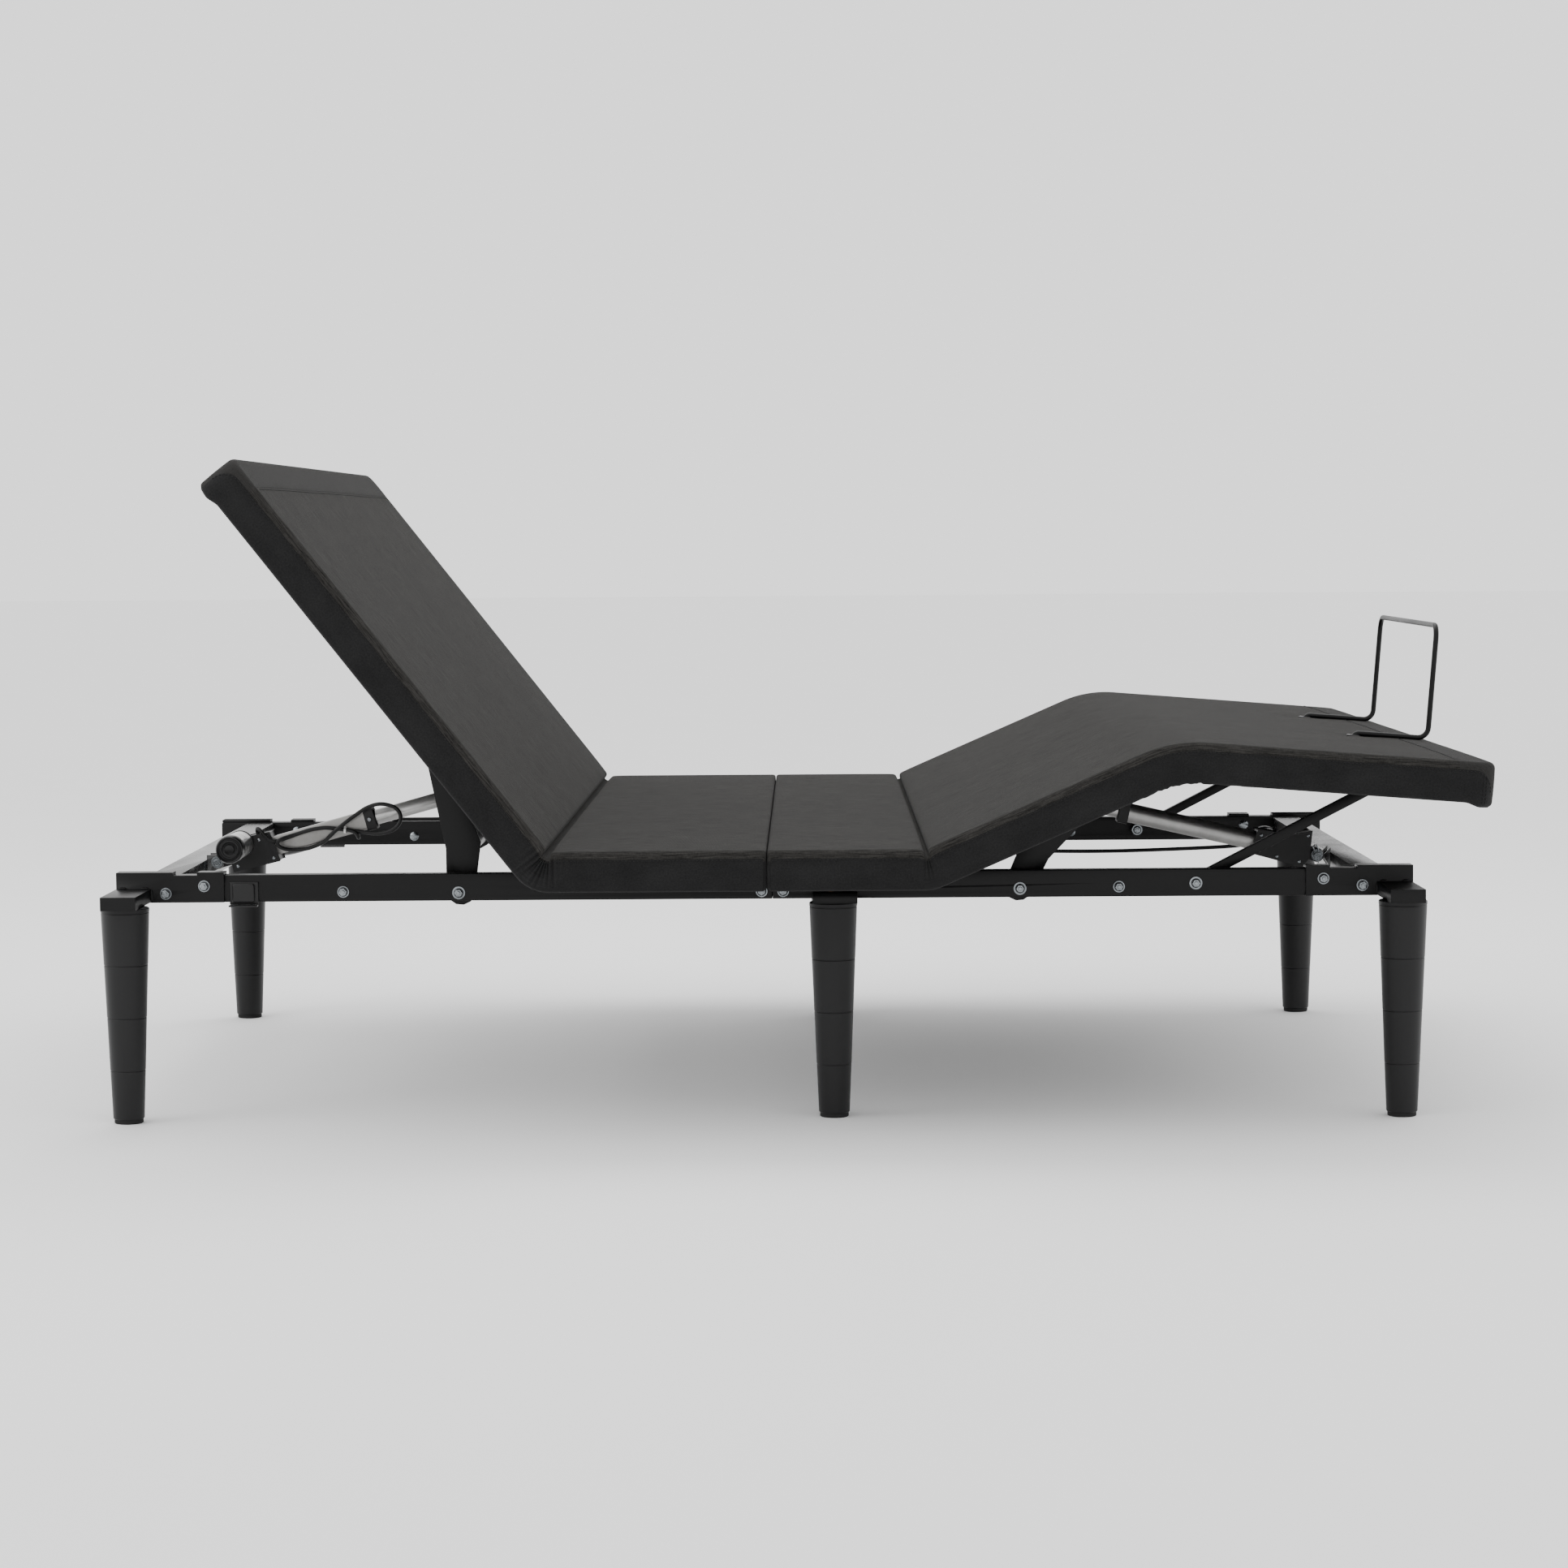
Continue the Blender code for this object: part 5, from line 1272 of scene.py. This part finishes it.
# The head lead's spare length, looped along the outer tube: (along, across, above) its axis.
LOOP = ((0.0720, -0.0200, 0.0170), (0.0722, -0.0205, 0.0285), (0.0745, -0.0250, 0.0330),
        (0.0785, -0.0300, 0.0290), (0.0830, -0.0302, 0.0200), (0.0890, -0.0302, 0.0115),
        (0.0980, -0.0285, 0.0074), (0.1120, -0.0225, 0.0074), (0.1300, -0.0186, 0.0085),
        (0.1500, -0.0182, 0.0095), (0.1721, -0.0182, 0.0063), (0.1900, -0.0182, -0.0005),
        (0.2067, -0.0182, -0.0073), (0.2300, -0.0205, -0.0170), (0.2480, -0.0245, -0.0235),
        (0.2680, -0.0290, -0.0250), (0.2830, -0.0295, -0.0190), (0.2900, -0.0295, -0.0065),
        (0.2850, -0.0295, 0.0080), (0.2657, -0.0290, 0.0187), (0.2440, -0.0260, 0.0190),
        (0.2213, -0.0265, 0.0118), (0.2050, -0.0295, 0.0055), (0.1900, -0.0305, -0.0010),
        (0.1780, -0.0270, -0.0075), (0.1640, -0.0200, -0.0142), (0.1400, -0.0182, -0.0170),
        (0.1160, -0.0200, -0.0130), (0.1030, -0.0260, -0.0060), (0.0985, -0.0330, 0.0010),
        (0.1000, -0.0350, 0.0058), (0.1060, -0.0335, 0.0082), (0.1150, -0.0290, 0.0088),
        (0.1300, -0.0247, 0.0090), (0.1500, -0.0244, 0.0095), (0.1721, -0.0243, 0.0070),
        (0.1900, -0.0243, 0.0005), (0.2067, -0.0243, -0.0065),
        (0.2160, -0.0245, -0.0130), (0.2178, -0.0200, -0.0215), (0.2165, -0.0090, -0.0212),
        (0.2150, 0.0060, -0.0180), (0.2120, 0.0160, -0.0160), (0.2060, 0.0184, -0.0080),
        (0.1850, 0.0182, -0.0010), (0.1500, 0.0182, 0.0000), (0.1150, 0.0186, -0.0010),
        (0.1000, 0.0270, -0.0040), (0.0850, 0.0308, -0.0060), (0.0650, 0.0306, -0.0068))


def leads(look):
    """The leads: each leaves its actuator and is clipped to the frame; they stay fixed in the world and do
    not move with their actuators.
    """
    place = axis_frame(*AXES["head"], ACTUATOR_Y)
    jobs = (("head", [place @ Vector(p) for p in LOOP] + list(HEAD_CABLE), (-0.790, 0.150, 0.335),
             (-0.815, -0.145, 0.348)),
            ("foot", FOOT_CABLE, (0.610, 0.060, 0.329), (0.738, -0.045, 0.3495)))
    for end, knots, fixed, moving in jobs:
        bm = bmesh.new()
        sweep(bm, curve_through(knots, 0.0025), circle(0.0030, 14))
        obj = as_object(f"{end}_motor_lead", bm, (look["rubber"],), 60)
        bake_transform(obj)
        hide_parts(f"{end}_motor_cable")


def lead_fastenings(look):
    """The tie that holds the loop together, and the clips on the far rail."""
    bm = bmesh.new()
    place = axis_frame(*AXES["head"], ACTUATOR_Y)
    ring = place @ Matrix.Translation((0.2020, -0.0212, -0.0050)) @ Matrix.Rotation(0.35, 4, "Y")
    ahead = ring.to_3x3() @ Vector((1.0, 0.0, 0.0))
    rows = []
    for a in (2 * math.pi * k / 28 for k in range(28)):
        p = ring @ Vector((0.0, 0.0071 * math.cos(a), 0.0043 * math.sin(a)))
        out = (p - ring.translation).normalized()
        rows.append([bm.verts.new(p + out * h + ahead * w) for w, h in
                     ((-0.0016, 0.0), (-0.0016, 0.0009), (0.0016, 0.0009), (0.0016, 0.0))])
    skin(bm, rows, joined=True)
    add("head_lead_tie", bm, (look["tie"],), "head_actuator")
    bm = bmesh.new()
    for x in (-0.680, -0.560, -0.400):
        block(bm, (x - 0.0060, x + 0.0060), (0.4625, 0.4715), (0.3486, 0.3566), 0.0022)
    add("lead_clips", bm, (look["housing"],), "frame")


# ------------------------------------------------------------------ kept CAD nodes
def keep(look):
    """Rounds the edges of the CAD nodes that stay, and gives them their materials."""
    kinds = {"cross_tube_": "gloss", "_board": "dust", "control_box": "housing"}
    for name, obj in NODES.items():
        if obj.hide_render:
            continue
        kind = next((kind for words, kind in kinds.items() if words in name), "coat")
        obj.data.materials.clear()
        obj.data.materials.append(look[kind])
        weld = obj.modifiers.new("weld", "WELD")
        weld.merge_threshold = 0.00001
        bevel = obj.modifiers.new("edges", "BEVEL")
        bevel.width = 0.0009
        bevel.segments = 2
        bevel.limit_method = "ANGLE"
        bevel.angle_limit = math.radians(38)
        obj.data.shade_smooth()


# ------------------------------------------------------------------ studio
def studio():
    """A white floor and world, with two soft lamps."""
    bm = bmesh.new()
    size = 40.0
    bm.faces.new([bm.verts.new((x * size, y * size, 0)) for x, y in ((-1, -1), (1, -1), (1, 1), (-1, 1))])
    paper = Look("studio_paper", (0.93, 0.93, 0.93), 0.9)
    paper.colour(paper.mix(paper.noise(paper.coords(), 3.0), (0.92, 0.92, 0.92), (0.94, 0.94, 0.94)))
    floor = from_bmesh("floor", bm, (paper.made,))
    world = bpy.data.worlds.new("studio")
    world.use_nodes = True
    back = world.node_tree.nodes["Background"]
    back.inputs["Color"].default_value = (1.0, 1.0, 1.0, 1.0)
    back.inputs["Strength"].default_value = 1.6
    bpy.context.scene.world = world
    for name, where, size, power, aim in (
        ("top", (0.0, 1.2, 3.4), (3.2, 2.0), 60.0, (0.0, 0.0, 0.4)),
        ("left", (-3.2, -1.6, 2.0), (1.6, 1.6), 25.0, (-0.3, 0.0, 0.5)),
    ):
        lamp = bpy.data.lights.new(name, "AREA")
        lamp.shape = "RECTANGLE"
        lamp.size, lamp.size_y = size
        lamp.energy = power
        linked(name, lamp).matrix_world = towards(where, Vector(where) - Vector(aim))


camera()
LOOK = looks()
covers(LOOK)
legs(LOOK)
rail_fittings(LOOK)
welds(LOOK)
actuators(LOOK)
retainer(LOOK)
leads(LOOK)
lead_fastenings(LOOK)
keep(LOOK)
studio()
